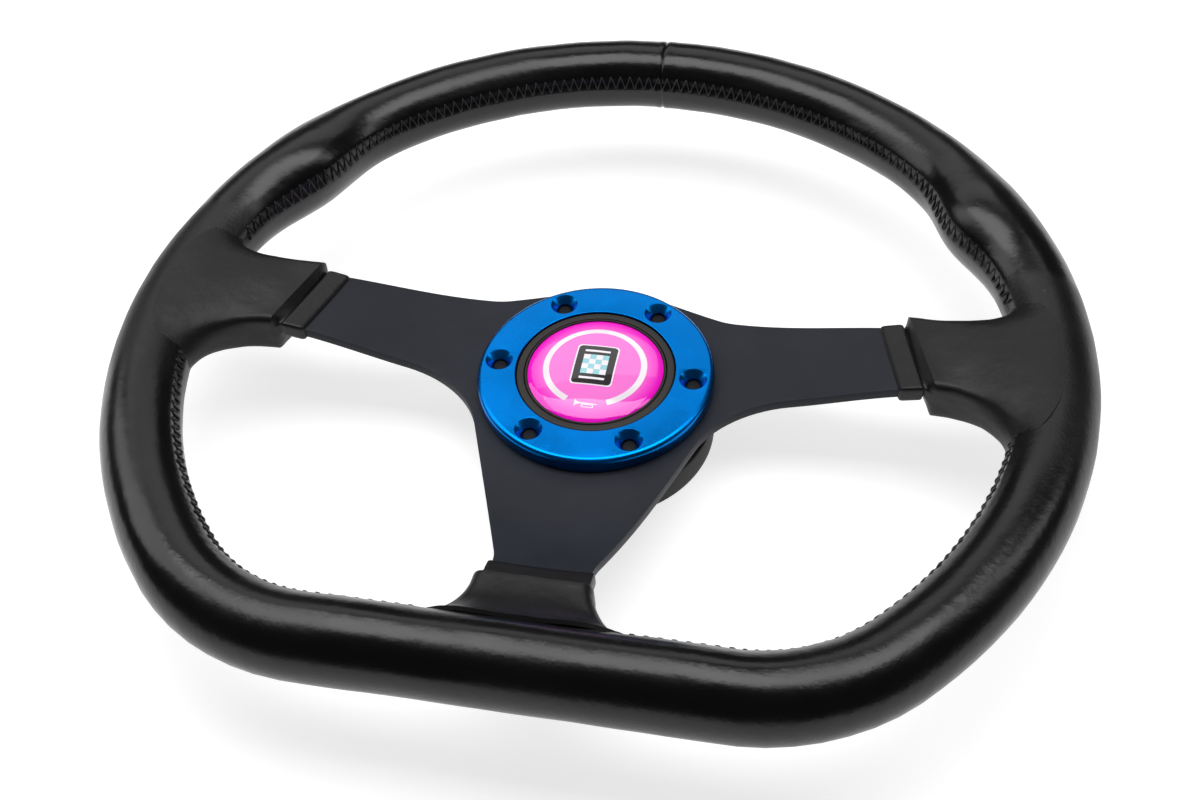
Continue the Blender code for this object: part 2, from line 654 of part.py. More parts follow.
# ---- quick release hub ------------------------------------------------------------------------
def build_hub(materials):
    groove_low = STOP_RING_Z - GAP
    groove_high = STOP_RING_TOP_Z + GAP
    groove_radius = STOP_RING_INNER - GAP
    profile = [
        (SOCKET_RADIUS + HUB_CHAMFER, 0.0), (SLEEVE_RADIUS, 0.0),
        (SLEEVE_RADIUS, groove_low), (groove_radius, groove_low),
        (groove_radius, groove_high), (SLEEVE_RADIUS, groove_high),
        (SLEEVE_RADIUS, FLANGE_REAR_Z), (FLANGE_RADIUS, FLANGE_REAR_Z),
        (FLANGE_RADIUS, HUB_LENGTH), (HORN_POCKET_RADIUS, HUB_LENGTH),
        (HORN_POCKET_RADIUS, WEB_TOP_Z), (WIRE_HOLE_RADIUS, WEB_TOP_Z),
        (WIRE_HOLE_RADIUS, SOCKET_DEPTH), (SOCKET_RADIUS, SOCKET_DEPTH),
        (SOCKET_RADIUS, HUB_CHAMFER),
    ]
    hub = make_object("hub_body", turned(profile), materials["black_metal"])

    cuts = bmesh.new()
    outward = Matrix.Rotation(math.pi / 2, 4, "Y")
    for angle in around(BALL_COUNT):
        lift = Matrix.Rotation(angle, 4, "Z") @ Matrix.Translation((0, 0, BALL_Z)) @ outward
        add_cylinder(cuts, BALL_HOLE_RADIUS, BALL_HOLE_RADIUS, SOCKET_RADIUS - BALL_RADIUS,
                     SLEEVE_RADIUS + BALL_RADIUS, lift, segments=SMALL_SEGMENTS)
    slot_high = SOCKET_DEPTH - 2 * HUB_CHAMFER
    slot_reach = SOCKET_RADIUS + DRIVE_SLOT_DEPTH
    slot_start = SOCKET_RADIUS - DRIVE_SLOT_WIDTH
    for angle in around(BALL_COUNT, math.pi / BALL_COUNT):
        size = Vector((slot_reach - slot_start, DRIVE_SLOT_WIDTH, 2 * slot_high))
        middle = at_radius(angle, (slot_reach + slot_start) / 2)
        bmesh.ops.create_cube(cuts, size=1.0, matrix=middle @ Matrix.Diagonal((*size, 1.0)))
    sink = BOLT_HEAD_RADIUS + GAP
    sink_depth = BOLT_HEAD_DEPTH + GAP
    for angle in around(BOLT_COUNT):
        profile = [(0.0, FLANGE_REAR_Z - FLANGE_T / 2), (sink, FLANGE_REAR_Z - FLANGE_T / 2),
                   (sink, FLANGE_REAR_Z + GAP), (BOLT_HOLE_RADIUS, FLANGE_REAR_Z + GAP + sink_depth),
                   (BOLT_HOLE_RADIUS, HUB_LENGTH + FLANGE_T), (0.0, HUB_LENGTH + FLANGE_T)]
        add_turned(cuts, profile, at_radius(angle, BOLT_CIRCLE_RADIUS))
    cut(hub, make_cutter("hub_cuts", cuts))


def build_lock(materials):
    """The release collar, its spring and seat, the stop ring and the lock balls."""
    stop_room = STOP_RING_OUTER + GAP
    lip_z = STOP_RING_TOP_Z + GAP
    ramp_radius = COLLAR_LAND_RADIUS + BALL_PROUD
    profile = [
        (stop_room, COLLAR_REAR_Z), (FLANGE_RADIUS - COLLAR_CHAMFER, COLLAR_REAR_Z),
        (FLANGE_RADIUS, COLLAR_REAR_Z + COLLAR_CHAMFER),
        (FLANGE_RADIUS, COLLAR_FRONT_Z - COLLAR_CHAMFER),
        (FLANGE_RADIUS - COLLAR_CHAMFER, COLLAR_FRONT_Z), (COLLAR_POCKET_RADIUS, COLLAR_FRONT_Z),
        (COLLAR_POCKET_RADIUS, COLLAR_FLOOR_Z), (COLLAR_TUBE_RADIUS, COLLAR_FLOOR_Z),
        (COLLAR_TUBE_RADIUS, COLLAR_TUBE_FRONT_Z), (COLLAR_LAND_RADIUS, COLLAR_TUBE_FRONT_Z),
        (COLLAR_LAND_RADIUS, BALL_Z), (ramp_radius, BALL_Z - COLLAR_STROKE),
        (ramp_radius, lip_z), (stop_room, lip_z),
    ]
    pivot = (0, 0, COLLAR_REAR_Z)
    make_object("release_collar", turned(profile), materials["black_metal"], pivot)

    low = COLLAR_FLOOR_Z + GAP + COLLAR_WIRE_RADIUS
    high = SPRING_SEAT_Z - GAP - COLLAR_WIRE_RADIUS
    spring = helix(COLLAR_SPRING_RADIUS, low, high, COLLAR_SPRING_TURNS, COLLAR_WIRE_RADIUS)
    make_object("collar_spring", spring, materials["steel"])
    seat = [(SLEEVE_RADIUS + GAP, SPRING_SEAT_Z), (COLLAR_POCKET_RADIUS - GAP, SPRING_SEAT_Z),
            (COLLAR_POCKET_RADIUS - GAP, SPRING_SEAT_Z + SPRING_SEAT_T),
            (SLEEVE_RADIUS + GAP, SPRING_SEAT_Z + SPRING_SEAT_T)]
    make_object("spring_seat", turned(seat), materials["steel"])

    ring = [(STOP_RING_INNER, STOP_RING_Z), (STOP_RING_OUTER, STOP_RING_Z),
            (STOP_RING_OUTER, STOP_RING_TOP_Z), (STOP_RING_INNER, STOP_RING_TOP_Z)]
    stop_ring = make_object("stop_ring", turned(ring), materials["steel"])
    split = bmesh.new()
    size = Vector((STOP_RING_SPLIT, 2 * STOP_RING_REACH + 2 * STOP_RING_GRIP, 4 * STOP_RING_T))
    place = Matrix.Translation((0, SLEEVE_RADIUS, STOP_RING_Z))
    bmesh.ops.create_cube(split, size=1.0, matrix=place @ Matrix.Diagonal((*size, 1.0)))
    cut(stop_ring, make_cutter("stop_ring_split", split))

    for index, angle in enumerate(around(BALL_COUNT)):
        ball = bmesh.new()
        centre = at_radius(angle, BALL_CENTRE_RADIUS).translation + Vector((0, 0, BALL_Z))
        place = Matrix.Translation(centre) @ Matrix.Rotation(angle, 4, "Z")
        bmesh.ops.create_uvsphere(ball, u_segments=BALL_SEGMENTS, v_segments=BALL_RINGS,
                                  radius=BALL_RADIUS, matrix=place)
        make_object("lock_ball_%d" % (index + 1), ball, materials["steel"], centre)


def build_grommet(materials):
    """A grooved rubber grommet for the horn wire, in the hub's web."""
    bore = WIRE_HOLE_RADIUS - GAP - GROMMET_WALL
    neck = WIRE_HOLE_RADIUS - GAP
    lip = WIRE_HOLE_RADIUS + GROMMET_LIP
    low = SOCKET_DEPTH - GAP
    high = WEB_TOP_Z + GAP
    profile = [(bore, low - GROMMET_LIP_T), (lip, low - GROMMET_LIP_T), (lip, low), (neck, low),
               (neck, high), (lip, high), (lip, high + GROMMET_LIP_T), (bore, high + GROMMET_LIP_T)]
    make_object("wire_grommet", turned(profile, segments=SMALL_SEGMENTS), materials["rubber"])


# ---- horn push --------------------------------------------------------------------------------
def build_horn_fixed(materials):
    groove = BARREL_RADIUS - GRIP_GROOVE_DEPTH
    groove_half = GRIP_RING_SECTION + GAP
    stem_room = STEM_RADIUS + GAP
    profile = [
        (BARREL_INNER_RADIUS, HORN_REAR_Z), (BARREL_RADIUS, HORN_REAR_Z),
        (BARREL_RADIUS, GRIP_RING_Z - groove_half), (groove, GRIP_RING_Z - groove_half),
        (groove, GRIP_RING_Z + groove_half), (BARREL_RADIUS, GRIP_RING_Z + groove_half),
        (BARREL_RADIUS, RING_REAR_Z), (BEZEL_RADIUS, RING_REAR_Z),
        (BEZEL_RADIUS, BEZEL_TOP_Z - HORN_LEDGE), (BEZEL_RADIUS - HORN_LEDGE / 2, BEZEL_TOP_Z),
        (CAP_ROOM_RADIUS, BEZEL_TOP_Z), (CAP_ROOM_RADIUS, CAP_ROOM_FLOOR_Z),
        (BARREL_INNER_RADIUS, CAP_ROOM_FLOOR_Z), (BARREL_INNER_RADIUS, HORN_WEB_TOP_Z),
        (stem_room, HORN_WEB_TOP_Z), (stem_room, HORN_WEB_Z), (BARREL_INNER_RADIUS, HORN_WEB_Z),
    ]
    make_object("horn_housing", turned(profile), materials["black_plastic"])

    section = []
    for step in range(6):
        angle = 2 * math.pi * step / 6
        middle = groove + GAP + GRIP_RING_SECTION
        section.append((middle + GRIP_RING_SECTION * math.cos(angle),
                        GRIP_RING_Z + GRIP_RING_SECTION * math.sin(angle)))
    make_object("horn_grip_ring", turned(section), materials["rubber"])

    base_radius = BARREL_INNER_RADIUS - GAP
    base = [(BASE_HOLE_RADIUS, HORN_REAR_Z), (base_radius, HORN_REAR_Z),
            (base_radius, BASE_TOP_Z), (BASE_HOLE_RADIUS, BASE_TOP_Z)]
    base_plate = make_object("contact_base", turned(base), materials["black_plastic"])
    holes = bmesh.new()
    for angle in (0.0, math.pi):
        add_cylinder(holes, RIVET_RADIUS + GAP, RIVET_RADIUS + GAP, HORN_REAR_Z - BASE_T,
                     BASE_TOP_Z + BASE_T, at_radius(angle, RIVET_CIRCLE_RADIUS))
    cut(base_plate, make_cutter("rivet_holes", holes))
    for name, angle in (("rivet_live", 0.0), ("rivet_ground", math.pi)):
        top = BASE_TOP_Z + CONTACT_T
        low = HORN_REAR_Z - GAP - RIVET_HEAD_T
        rivet = bmesh.new()
        shape = [(0.0, low), (RIVET_HEAD_RADIUS, low), (RIVET_HEAD_RADIUS, low + RIVET_HEAD_T),
                 (RIVET_RADIUS, low + RIVET_HEAD_T), (RIVET_RADIUS, top), (0.0, top)]
        add_turned(rivet, shape, at_radius(angle, RIVET_CIRCLE_RADIUS))
        make_object(name, rivet, materials["brass"])
    contact = [(FIXED_CONTACT_INNER, FIXED_CONTACT_Z), (CONTACT_RADIUS, FIXED_CONTACT_Z),
               (CONTACT_RADIUS, FIXED_CONTACT_Z + CONTACT_T),
               (FIXED_CONTACT_INNER, FIXED_CONTACT_Z + CONTACT_T)]
    make_object("fixed_contact", turned(contact, segments=SMALL_SEGMENTS), materials["brass"])

    low = HORN_WEB_TOP_Z + GAP + HORN_WIRE_RADIUS
    high = CAP_REAR_Z - GAP - HORN_WIRE_RADIUS
    spring = helix(HORN_SPRING_RADIUS, low, high, HORN_SPRING_TURNS, HORN_WIRE_RADIUS, 12, 5)
    make_object("horn_spring", spring, materials["steel"])


def build_horn_moving(materials):
    pivot = (0, 0, CAP_REAR_Z)
    seat_radius = EMBLEM_RADIUS + GAP
    seat_z = BEZEL_TOP_Z - EMBLEM_SEAT
    hole = CONTACT_SCREW_RADIUS + GAP
    hole_z = STEM_REAR_Z + CONTACT_SCREW_LENGTH
    cap = [(0.0, hole_z), (hole, hole_z), (hole, STEM_REAR_Z), (STEM_RADIUS, STEM_REAR_Z),
           (STEM_RADIUS, CAP_REAR_Z), (CAP_RADIUS, CAP_REAR_Z), (CAP_RADIUS, BEZEL_TOP_Z),
           (seat_radius, BEZEL_TOP_Z), (seat_radius, seat_z), (0.0, seat_z)]
    make_object("horn_cap", turned(cap, closed=False), materials["black_plastic"], pivot)

    edge_z = EMBLEM_REAR_Z + EMBLEM_EDGE_T
    bow = (EMBLEM_RADIUS ** 2 + EMBLEM_DOME ** 2) / (2 * EMBLEM_DOME)
    dome = [(0.0, EMBLEM_REAR_Z), (EMBLEM_RADIUS, EMBLEM_REAR_Z)]
    for step in range(6):
        radius = EMBLEM_RADIUS * (1 - step / 6)
        dome.append((radius, edge_z + EMBLEM_DOME - bow + math.sqrt(bow ** 2 - radius ** 2)))
    dome.append((0.0, edge_z + EMBLEM_DOME))
    make_object("horn_emblem", turned(dome, closed=False), materials["pink"], pivot)

    contact = [(hole, MOVING_CONTACT_Z), (CONTACT_RADIUS, MOVING_CONTACT_Z),
               (CONTACT_RADIUS, MOVING_CONTACT_Z + CONTACT_T), (hole, MOVING_CONTACT_Z + CONTACT_T)]
    make_object("moving_contact", turned(contact, segments=SMALL_SEGMENTS), materials["brass"], pivot)

    head_top = MOVING_CONTACT_Z - GAP
    head_low = head_top - CONTACT_SCREW_HEAD_T
    screw = [(0.0, head_low), (CONTACT_SCREW_HEAD_RADIUS, head_low),
             (CONTACT_SCREW_HEAD_RADIUS, head_top), (CONTACT_SCREW_RADIUS, head_top),
             (CONTACT_SCREW_RADIUS, hole_z - 2 * GAP), (0.0, hole_z - 2 * GAP)]
    make_object("contact_screw", turned(screw, closed=False, segments=BOLT_SEGMENTS),
                materials["steel"], pivot)


def main():
    clear_scene()
    add_steering_axis()
    materials = {
        "leather": make_material("leather", (0.012, 0.012, 0.013), 0.38, 0.0),
        "foam": make_material("foam", (0.10, 0.10, 0.09), 0.90, 0.0),
        "steel": make_material("steel", (0.55, 0.56, 0.58), 0.35, 1.0),
        "spokes": make_material("spokes", (0.030, 0.036, 0.047), 0.50, 0.6),
        "blue": make_material("blue", (0.004, 0.130, 0.520), 0.28, 0.9),
        "black_metal": make_material("black_metal", (0.030, 0.030, 0.029), 0.50, 0.6),
        "black_plastic": make_material("black_plastic", (0.045, 0.045, 0.043), 0.55, 0.0),
        "pink": make_material("pink", (0.93, 0.09, 0.62), 0.08, 0.0),
        "brass": make_material("brass", (0.78, 0.58, 0.25), 0.35, 1.0),
        "rubber": make_material("rubber", (0.020, 0.020, 0.020), 0.80, 0.0),
    }
    slot_cutter = build_rim(materials)
    build_spokes(materials, slot_cutter)
    build_trim_ring(materials)
    build_hub_screws(materials)
    build_hub(materials)
    build_lock(materials)
    build_grommet(materials)
    build_horn_fixed(materials)
    build_horn_moving(materials)


main()
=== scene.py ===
"""Looks of a quick release steering wheel, built piece by piece around its fixed frame.

The wheel lies face up on its hub: +Z points to the driver, +Y to the top of the wheel.  Sizes are in
metres.  Each sub-assembly is a class that builds its meshes, dresses them and hands them to a body.
"""
import logging
import math
from collections.abc import Callable, Iterator, Sequence
from contextlib import contextmanager
from dataclasses import dataclass, field
from enum import Enum

import bpy
import numpy as np
from mathutils import Matrix, Vector, noise


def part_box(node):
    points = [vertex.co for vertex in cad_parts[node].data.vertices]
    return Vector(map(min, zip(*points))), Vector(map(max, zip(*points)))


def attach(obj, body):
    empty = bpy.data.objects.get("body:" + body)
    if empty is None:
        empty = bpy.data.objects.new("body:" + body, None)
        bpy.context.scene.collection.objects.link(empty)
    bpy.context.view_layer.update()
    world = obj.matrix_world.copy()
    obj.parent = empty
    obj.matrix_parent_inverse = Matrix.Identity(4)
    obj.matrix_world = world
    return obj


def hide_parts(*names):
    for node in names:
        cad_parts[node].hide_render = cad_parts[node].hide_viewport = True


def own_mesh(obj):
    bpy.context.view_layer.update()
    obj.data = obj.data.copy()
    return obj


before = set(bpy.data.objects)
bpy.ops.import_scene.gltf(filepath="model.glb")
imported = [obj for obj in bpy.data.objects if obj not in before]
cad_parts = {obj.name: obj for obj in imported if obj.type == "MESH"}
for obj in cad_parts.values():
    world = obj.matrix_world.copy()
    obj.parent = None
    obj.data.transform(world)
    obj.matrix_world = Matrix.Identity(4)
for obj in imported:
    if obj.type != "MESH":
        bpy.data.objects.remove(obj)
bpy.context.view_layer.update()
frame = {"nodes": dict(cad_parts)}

logging.basicConfig(level=logging.INFO, format="%(levelname)s %(message)s")
log = logging.getLogger("steering_wheel")

Profile = list[tuple[float, float]]
Place = tuple[float, float, float]
RING_LOW, RING_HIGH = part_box("trim_ring")
AXIS_Y = (RING_LOW.y + RING_HIGH.y) / 2
AXIS = Vector((0.0, AXIS_Y, 0.0))
WHEEL, COLLAR, HORN = "wheel", "collar", "horn_push"
BOLT_COUNT = 6
BALL_COUNT = 6
LATHE_STEPS = 144
SMALL_STEPS = 48
SMOOTH_ANGLE = math.radians(32.0)
GAP = 0.0003
SLEEVE_START = (0.10, 0.11)


class Spoke(Enum):
    """The three spokes, by where they point."""

    LEFT = "left"
    RIGHT = "right"
    BOTTOM = "bottom"


# ---- bench tools ------------------------------------------------------------------------------
def pick(obj: bpy.types.Object) -> bpy.types.Object:
    """Makes one object the only selected and the active one.

    Args:
        obj: The object to work on.

    Returns:
        The same object.
    """
    bpy.ops.object.select_all(action="DESELECT")
    obj.select_set(True)
    bpy.context.view_layer.objects.active = obj
    return obj


def primitive(name: str, operator: Callable[..., object], **settings: object) -> bpy.types.Object:
    """Adds a primitive, with nothing else selected.

    Args:
        name: The object's name.
        operator: The operator that adds the primitive.
        **settings: What the operator takes.

    Returns:
        The new object.
    """
    bpy.ops.object.select_all(action="DESELECT")
    operator(**settings)
    obj = bpy.context.object
    obj.name = name
    return obj


@contextmanager
def editing(obj: bpy.types.Object) -> Iterator[None]:
    """Opens an object in edit mode with all of its mesh selected.

    Args:
        obj: The object to edit.
    """
    pick(obj)
    bpy.ops.object.mode_set(mode="EDIT")
    bpy.ops.mesh.select_all(action="SELECT")
    yield
    bpy.ops.object.mode_set(mode="OBJECT")


def apply_modifier(obj: bpy.types.Object, kind: str, **settings: object) -> None:
    """Adds one modifier with its settings and applies it.

    Args:
        obj: The object that is modified.
        kind: The modifier's type.
        **settings: Values set on the modifier.
    """
    pick(obj)
    modifier = obj.modifiers.new(kind.lower(), kind)
    for name, value in settings.items():
        setattr(modifier, name, value)
    bpy.ops.object.modifier_apply(modifier=modifier.name)


def ease_edges(obj: bpy.types.Object, width: float, segments: int, angle: float) -> None:
    """Rounds an object's edges that turn by more than an angle.

    Args:
        obj: The object.
        width: The bevel's width.
        segments: Stretches across it.
        angle: The angle past which an edge is rounded, in degrees.
    """
    apply_modifier(obj, "BEVEL", width=width, segments=segments, limit_method="ANGLE",
                   angle_limit=math.radians(angle))


def tidy(obj: bpy.types.Object, merge: float = 2e-6) -> None:
    """Merges doubles, drops slivers and turns the faces outwards.

    Args:
        obj: The object to tidy.
        merge: The distance under which points are one.
    """
    with editing(obj):
        bpy.ops.mesh.remove_doubles(threshold=merge)
        bpy.ops.mesh.dissolve_degenerate(threshold=1e-7)
        bpy.ops.mesh.select_all(action="SELECT")
        bpy.ops.mesh.normals_make_consistent(inside=False)


def smooth(obj: bpy.types.Object, angle: float = SMOOTH_ANGLE) -> None:
    """Shades an object smooth, with sharp edges past an angle."""
    pick(obj)
    bpy.ops.object.shade_smooth_by_angle(angle=angle)


def rounded(corners: Sequence[tuple[float, float, float]], steps: int = 4) -> Profile:
    """Rounds the corners of a polygon.

    Args:
        corners: Each corner as (x, y, radius); a radius of 0 keeps it sharp.
        steps: Stretches on each rounded corner.

    Returns:
        The outline's points.
    """
    points: Profile = []
    for index, (x, y, radius) in enumerate(corners):
        corner = Vector((x, y))
        before = Vector(corners[index - 1][:2]) - corner
        after = Vector(corners[(index + 1) % len(corners)][:2]) - corner
        limit = 0.48 * min(before.length, after.length)
        before.normalize()
        after.normalize()
        half = before.angle(after) / 2
        reach = min(radius / math.tan(half), limit) if radius > 0.0 else 0.0
        if reach < 1e-6:
            points.append((x, y))
            continue
        swing = reach * math.tan(half)
        centre = corner + (before + after).normalized() * (swing / math.sin(half))
        start = corner + before * reach - centre
        turn = start.angle_signed(corner + after * reach - centre)
        for step in range(steps + 1):
            points.append(tuple(centre + Matrix.Rotation(-turn * step / steps, 2) @ start))
    return points


def eased(profile: Profile, radius: float, steps: int = 3) -> Profile:
    """Eases every corner of a turned profile that isn't on the axis.

    Args:
        profile: The (radius, height) corners.
        radius: The corner radius.
        steps: Stretches on each corner.

    Returns:
        The eased profile.
    """
    return rounded([(r, z, 0.0 if r < 1e-6 else radius) for r, z in profile], steps)


def filled_outline(name: str, points: Profile, height: float) -> bpy.types.Object:
    """Makes one flat face from a round primitive whose points move onto an outline.

    Args:
        name: The object's name.
        points: The outline in X and Y, from the steering axis.
        height: Its height.

    Returns:
        The new object.
    """
    obj = primitive(name, bpy.ops.mesh.primitive_circle_add, vertices=len(points), radius=0.01,
                    fill_type="NGON")
    for vert, (x, y) in zip(obj.data.vertices, points):
        vert.co = (x, y + AXIS_Y, height)
    return obj


def lathe(name: str, profile: Profile, steps: int = LATHE_STEPS,
          place: Matrix | None = None) -> bpy.types.Object:
    """Turns a closed profile about the steering axis, or about an axis moved by a matrix.

    Args:
        name: The object's name.
        profile: The (radius, height) points.
        steps: Stretches round the turn.
        place: Where the turned piece goes, from the steering axis.

    Returns:
        The turned solid.
    """
    obj = primitive(name, bpy.ops.mesh.primitive_circle_add, vertices=len(profile), radius=0.01,
                    fill_type="NOTHING")
    for vert, (radius, height) in zip(obj.data.vertices, profile):
        vert.co = (radius, 0.0, height)
    with editing(obj):
        bpy.ops.mesh.spin(steps=steps, angle=2 * math.pi, center=(0, 0, 0), axis=(0, 0, 1))
    obj.data.transform(Matrix.Translation(AXIS) @ (place or Matrix.Identity(4)))
    tidy(obj)
    return obj


def grid_loft(name: str, rows: int, columns: int,
              place: Callable[[np.ndarray, np.ndarray], np.ndarray]) -> bpy.types.Object:
    """Lofts a grid primitive over a surface rule.

    Args:
        name: The object's name.
        rows: Stretches along the loft.
        columns: Stretches across it; the last one may meet the first, which closes it.
        place: Gives the points from (share along, share across), both from 0 to 1.

    Returns:
        The lofted object.
    """
    obj = primitive(name, bpy.ops.mesh.primitive_grid_add, x_subdivisions=rows, y_subdivisions=columns,
                    size=1.0)
    flat = read_points(obj)
    write_points(obj, place(flat[:, 0] + 0.5, flat[:, 1] + 0.5))
    return obj


def read_points(obj: bpy.types.Object) -> np.ndarray:
    """Gives a mesh's points as an array of rows."""
    points = np.empty(len(obj.data.vertices) * 3)
    obj.data.vertices.foreach_get("co", points)
    return points.reshape(-1, 3)


def write_points(obj: bpy.types.Object, points: np.ndarray) -> None:
    """Moves a mesh's points to the rows of an array."""
    obj.data.vertices.foreach_set("co", points.astype(np.float32).ravel())
    obj.data.update()


def cut_away(target: bpy.types.Object, cutter: bpy.types.Object) -> None:
    """Cuts a solid with another, which is then thrown away.

    Args:
        target: The solid that is cut.
        cutter: The solid that cuts.
    """
    apply_modifier(target, "BOOLEAN", operation="DIFFERENCE", solver="EXACT", object=cutter)
    bpy.data.objects.remove(cutter, do_unlink=True)


def joined(name: str, pieces: Sequence[bpy.types.Object]) -> bpy.types.Object:
    """Joins objects into the first one.

    Args:
        name: The joined object's name.
        pieces: The objects.

    Returns:
        The joined object.
    """
    pick(pieces[0])
    for piece in pieces[1:]:
        piece.select_set(True)
    bpy.ops.object.join()
    pieces[0].name = name
    return pieces[0]


def copied(source: bpy.types.Object, name: str, place: Matrix) -> bpy.types.Object:
    """Copies an object with a mesh of its own, moved about the steering axis.

    Args:
        source: The object to copy.
        name: The copy's name.
        place: The move, taken from the steering axis.

    Returns:
        The copy.
    """
    copy = source.copy()
    copy.data = source.data.copy()
    copy.name = name
    bpy.context.scene.collection.objects.link(copy)
    copy.data.transform(Matrix.Translation(AXIS) @ place @ Matrix.Translation(-AXIS))
    return copy


def at_radius(angle: float, radius: float, height: float = 0.0) -> Matrix:
    """Gives a place at an angle and a radius round the axis."""
    return Matrix.Rotation(angle, 4, "Z") @ Matrix.Translation((radius, 0.0, height))


def around(count: int, offset: float = 0.0) -> list[float]:
    """Gives evenly spaced angles round the axis."""
    return [offset + 2 * math.pi * index / count for index in range(count)]


def score_grid(obj: bpy.types.Object, pitch: float) -> None:
    """Cuts an object's faces into cells along X and Y, so that it can follow a curve.

    Args:
        obj: The flat object.
        pitch: The cells' size.
    """
    points = read_points(obj)
    low, high = points.min(axis=0), points.max(axis=0)
    with editing(obj):
        for axis, normal in ((0, (1, 0, 0)), (1, (0, 1, 0))):
            cell = math.floor(low[axis] / pitch) + 1
            while cell * pitch < high[axis] - 1e-6:
                place = [0.0, 0.0, 0.0]
                place[axis] = cell * pitch
                bpy.ops.mesh.select_all(action="SELECT")
                bpy.ops.mesh.bisect(plane_co=place, plane_no=normal, threshold=1e-7)
                cell += 1


def roughen(points: np.ndarray, normals: np.ndarray, depth: float, scale: float, seed: float) -> np.ndarray:
    """Moves points in and out by smooth noise, as hand-stretched leather lies.

    Args:
        points: The points.
        normals: Their outward directions.
        depth: The largest move.
        scale: The size of the waves.
        seed: Shifts the noise, so that no two pieces match.

    Returns:
        The moved points.
    """
    shift = Vector((seed, 2 * seed, 3 * seed))
    moves = np.array([noise.noise(Vector(point) / scale + shift) for point in points])
    return points + normals * (depth * moves)[:, None]


# ---- finishes ---------------------------------------------------------------------------------
class NodeBench:
    """Builds one material's nodes round its Principled shader."""

    def __init__(self, name: str) -> None:
        """Starts an empty material with a shader and an output.

        Args:
            name: The material's name.
        """
        self.material = bpy.data.materials.new(name)
        self.material.use_nodes = True
        self.nodes = self.material.node_tree.nodes
        self.links = self.material.node_tree.links
        self.shader = self.nodes["Principled BSDF"]
        self.place = self.add("ShaderNodeTexCoord").outputs["Object"]

    def add(self, kind: str, **values: object) -> bpy.types.Node:
        """Adds a node.

        Args:
            kind: The node's type.
            **values: Properties, or input sockets by name with spaces as underscores.

        Returns:
            The node.
        """
        node = self.nodes.new(kind)
        for name, value in values.items():
            if hasattr(node, name):
                setattr(node, name, value)
            else:
                node.inputs[name.replace("_", " ")].default_value = value
        return node

    def link(self, start: bpy.types.NodeSocket, end: bpy.types.NodeSocket) -> None:
        """Links two sockets."""
        self.links.new(start, end)

    def set(self, **values: object) -> None:
        """Sets constants on the shader's own sockets, by name with spaces as underscores."""
        for name, value in values.items():
            self.shader.inputs[name.replace("_", " ")].default_value = value

    def noise(self, scale: float, detail: float = 3.0, roughness: float = 0.55) -> bpy.types.NodeSocket:
        """Adds smooth noise on the piece's own coordinates.

        Args:
            scale: Waves in a metre.
            detail: Octaves.
            roughness: How strong the small octaves are.

        Returns:
            The noise value.
        """
        node = self.add("ShaderNodeTexNoise", Scale=scale, Detail=detail, Roughness=roughness)
        self.link(self.place, node.inputs["Vector"])
        return node.outputs["Fac"]

    def cells(self, scale: float, feature: str = "F1") -> bpy.types.NodeSocket:
        """Adds a cell pattern and gives the distance in it."""
        node = self.add("ShaderNodeTexVoronoi", feature=feature, Scale=scale)
        self.link(self.place, node.inputs["Vector"])
        return node.outputs["Distance"]

    def math(self, operation: str, first: object, second: object = 0.0) -> bpy.types.NodeSocket:
        """Adds a sum on two values, each a socket or a number."""
        node = self.add("ShaderNodeMath", operation=operation)
        for socket, value in zip(node.inputs, (first, second)):
            if isinstance(value, bpy.types.NodeSocket):
                self.link(value, socket)
            else:
                socket.default_value = value
        return node.outputs["Value"]

    def ramp(self, value: bpy.types.NodeSocket, low: float, high: float,
             low_to: float = 0.0, high_to: float = 1.0) -> bpy.types.NodeSocket:
        """Maps a range of a value onto another range, smoothly and with both ends held."""
        node = self.add("ShaderNodeMapRange", interpolation_type="SMOOTHSTEP", From_Min=low, From_Max=high,
                        To_Min=low_to, To_Max=high_to)
        self.link(value, node.inputs["Value"])
        return node.outputs["Result"]

    def mix(self, share: bpy.types.NodeSocket, first: object, second: object) -> bpy.types.NodeSocket:
        """Mixes two colours, each a socket or three numbers."""
        node = self.add("ShaderNodeMix", data_type="RGBA")
        self.link(share, node.inputs[0])
        for socket, value in ((node.inputs[6], first), (node.inputs[7], second)):
            if isinstance(value, bpy.types.NodeSocket):
                self.link(value, socket)
            else:
                socket.default_value = (*value, 1.0)
        return node.outputs[2]

    def bump(self, height: bpy.types.NodeSocket, depth: float,
             below: bpy.types.NodeSocket | None = None) -> bpy.types.NodeSocket:
        """Adds a bump of a real depth, over another one where it is given."""
        node = self.add("ShaderNodeBump", Distance=depth, Strength=1.0)
        self.link(height, node.inputs["Height"])
        if below is not None:
            self.link(below, node.inputs["Normal"])
        return node.outputs["Normal"]

    def radius(self) -> bpy.types.NodeSocket:
        """Gives the distance from the steering axis."""
        split = self.add("ShaderNodeSeparateXYZ")
        self.link(self.place, split.inputs[0])
        across = self.math("SUBTRACT", split.outputs["Y"], AXIS_Y)
        squares = self.math("ADD", self.math("MULTIPLY", split.outputs["X"], split.outputs["X"]),
                            self.math("MULTIPLY", across, across))
        return self.math("SQRT", squares)

    def finish(self, colour: bpy.types.NodeSocket, roughness: bpy.types.NodeSocket,
               normal: bpy.types.NodeSocket) -> bpy.types.Material:
        """Links what the shader takes and gives the material.

        Args:
            colour: The base colour.
            roughness: The roughness.
            normal: The bumped normal.

        Returns:
            The finished material.
        """
        self.link(colour, self.shader.inputs["Base Color"])
        self.link(roughness, self.shader.inputs["Roughness"])
        self.link(normal, self.shader.inputs["Normal"])
        return self.material


def shade(colour: Sequence[float], factor: float) -> tuple[float, float, float]:
    """Gives a lighter or darker version of a colour."""
    return tuple(min(1.0, channel * factor) for channel in colour)


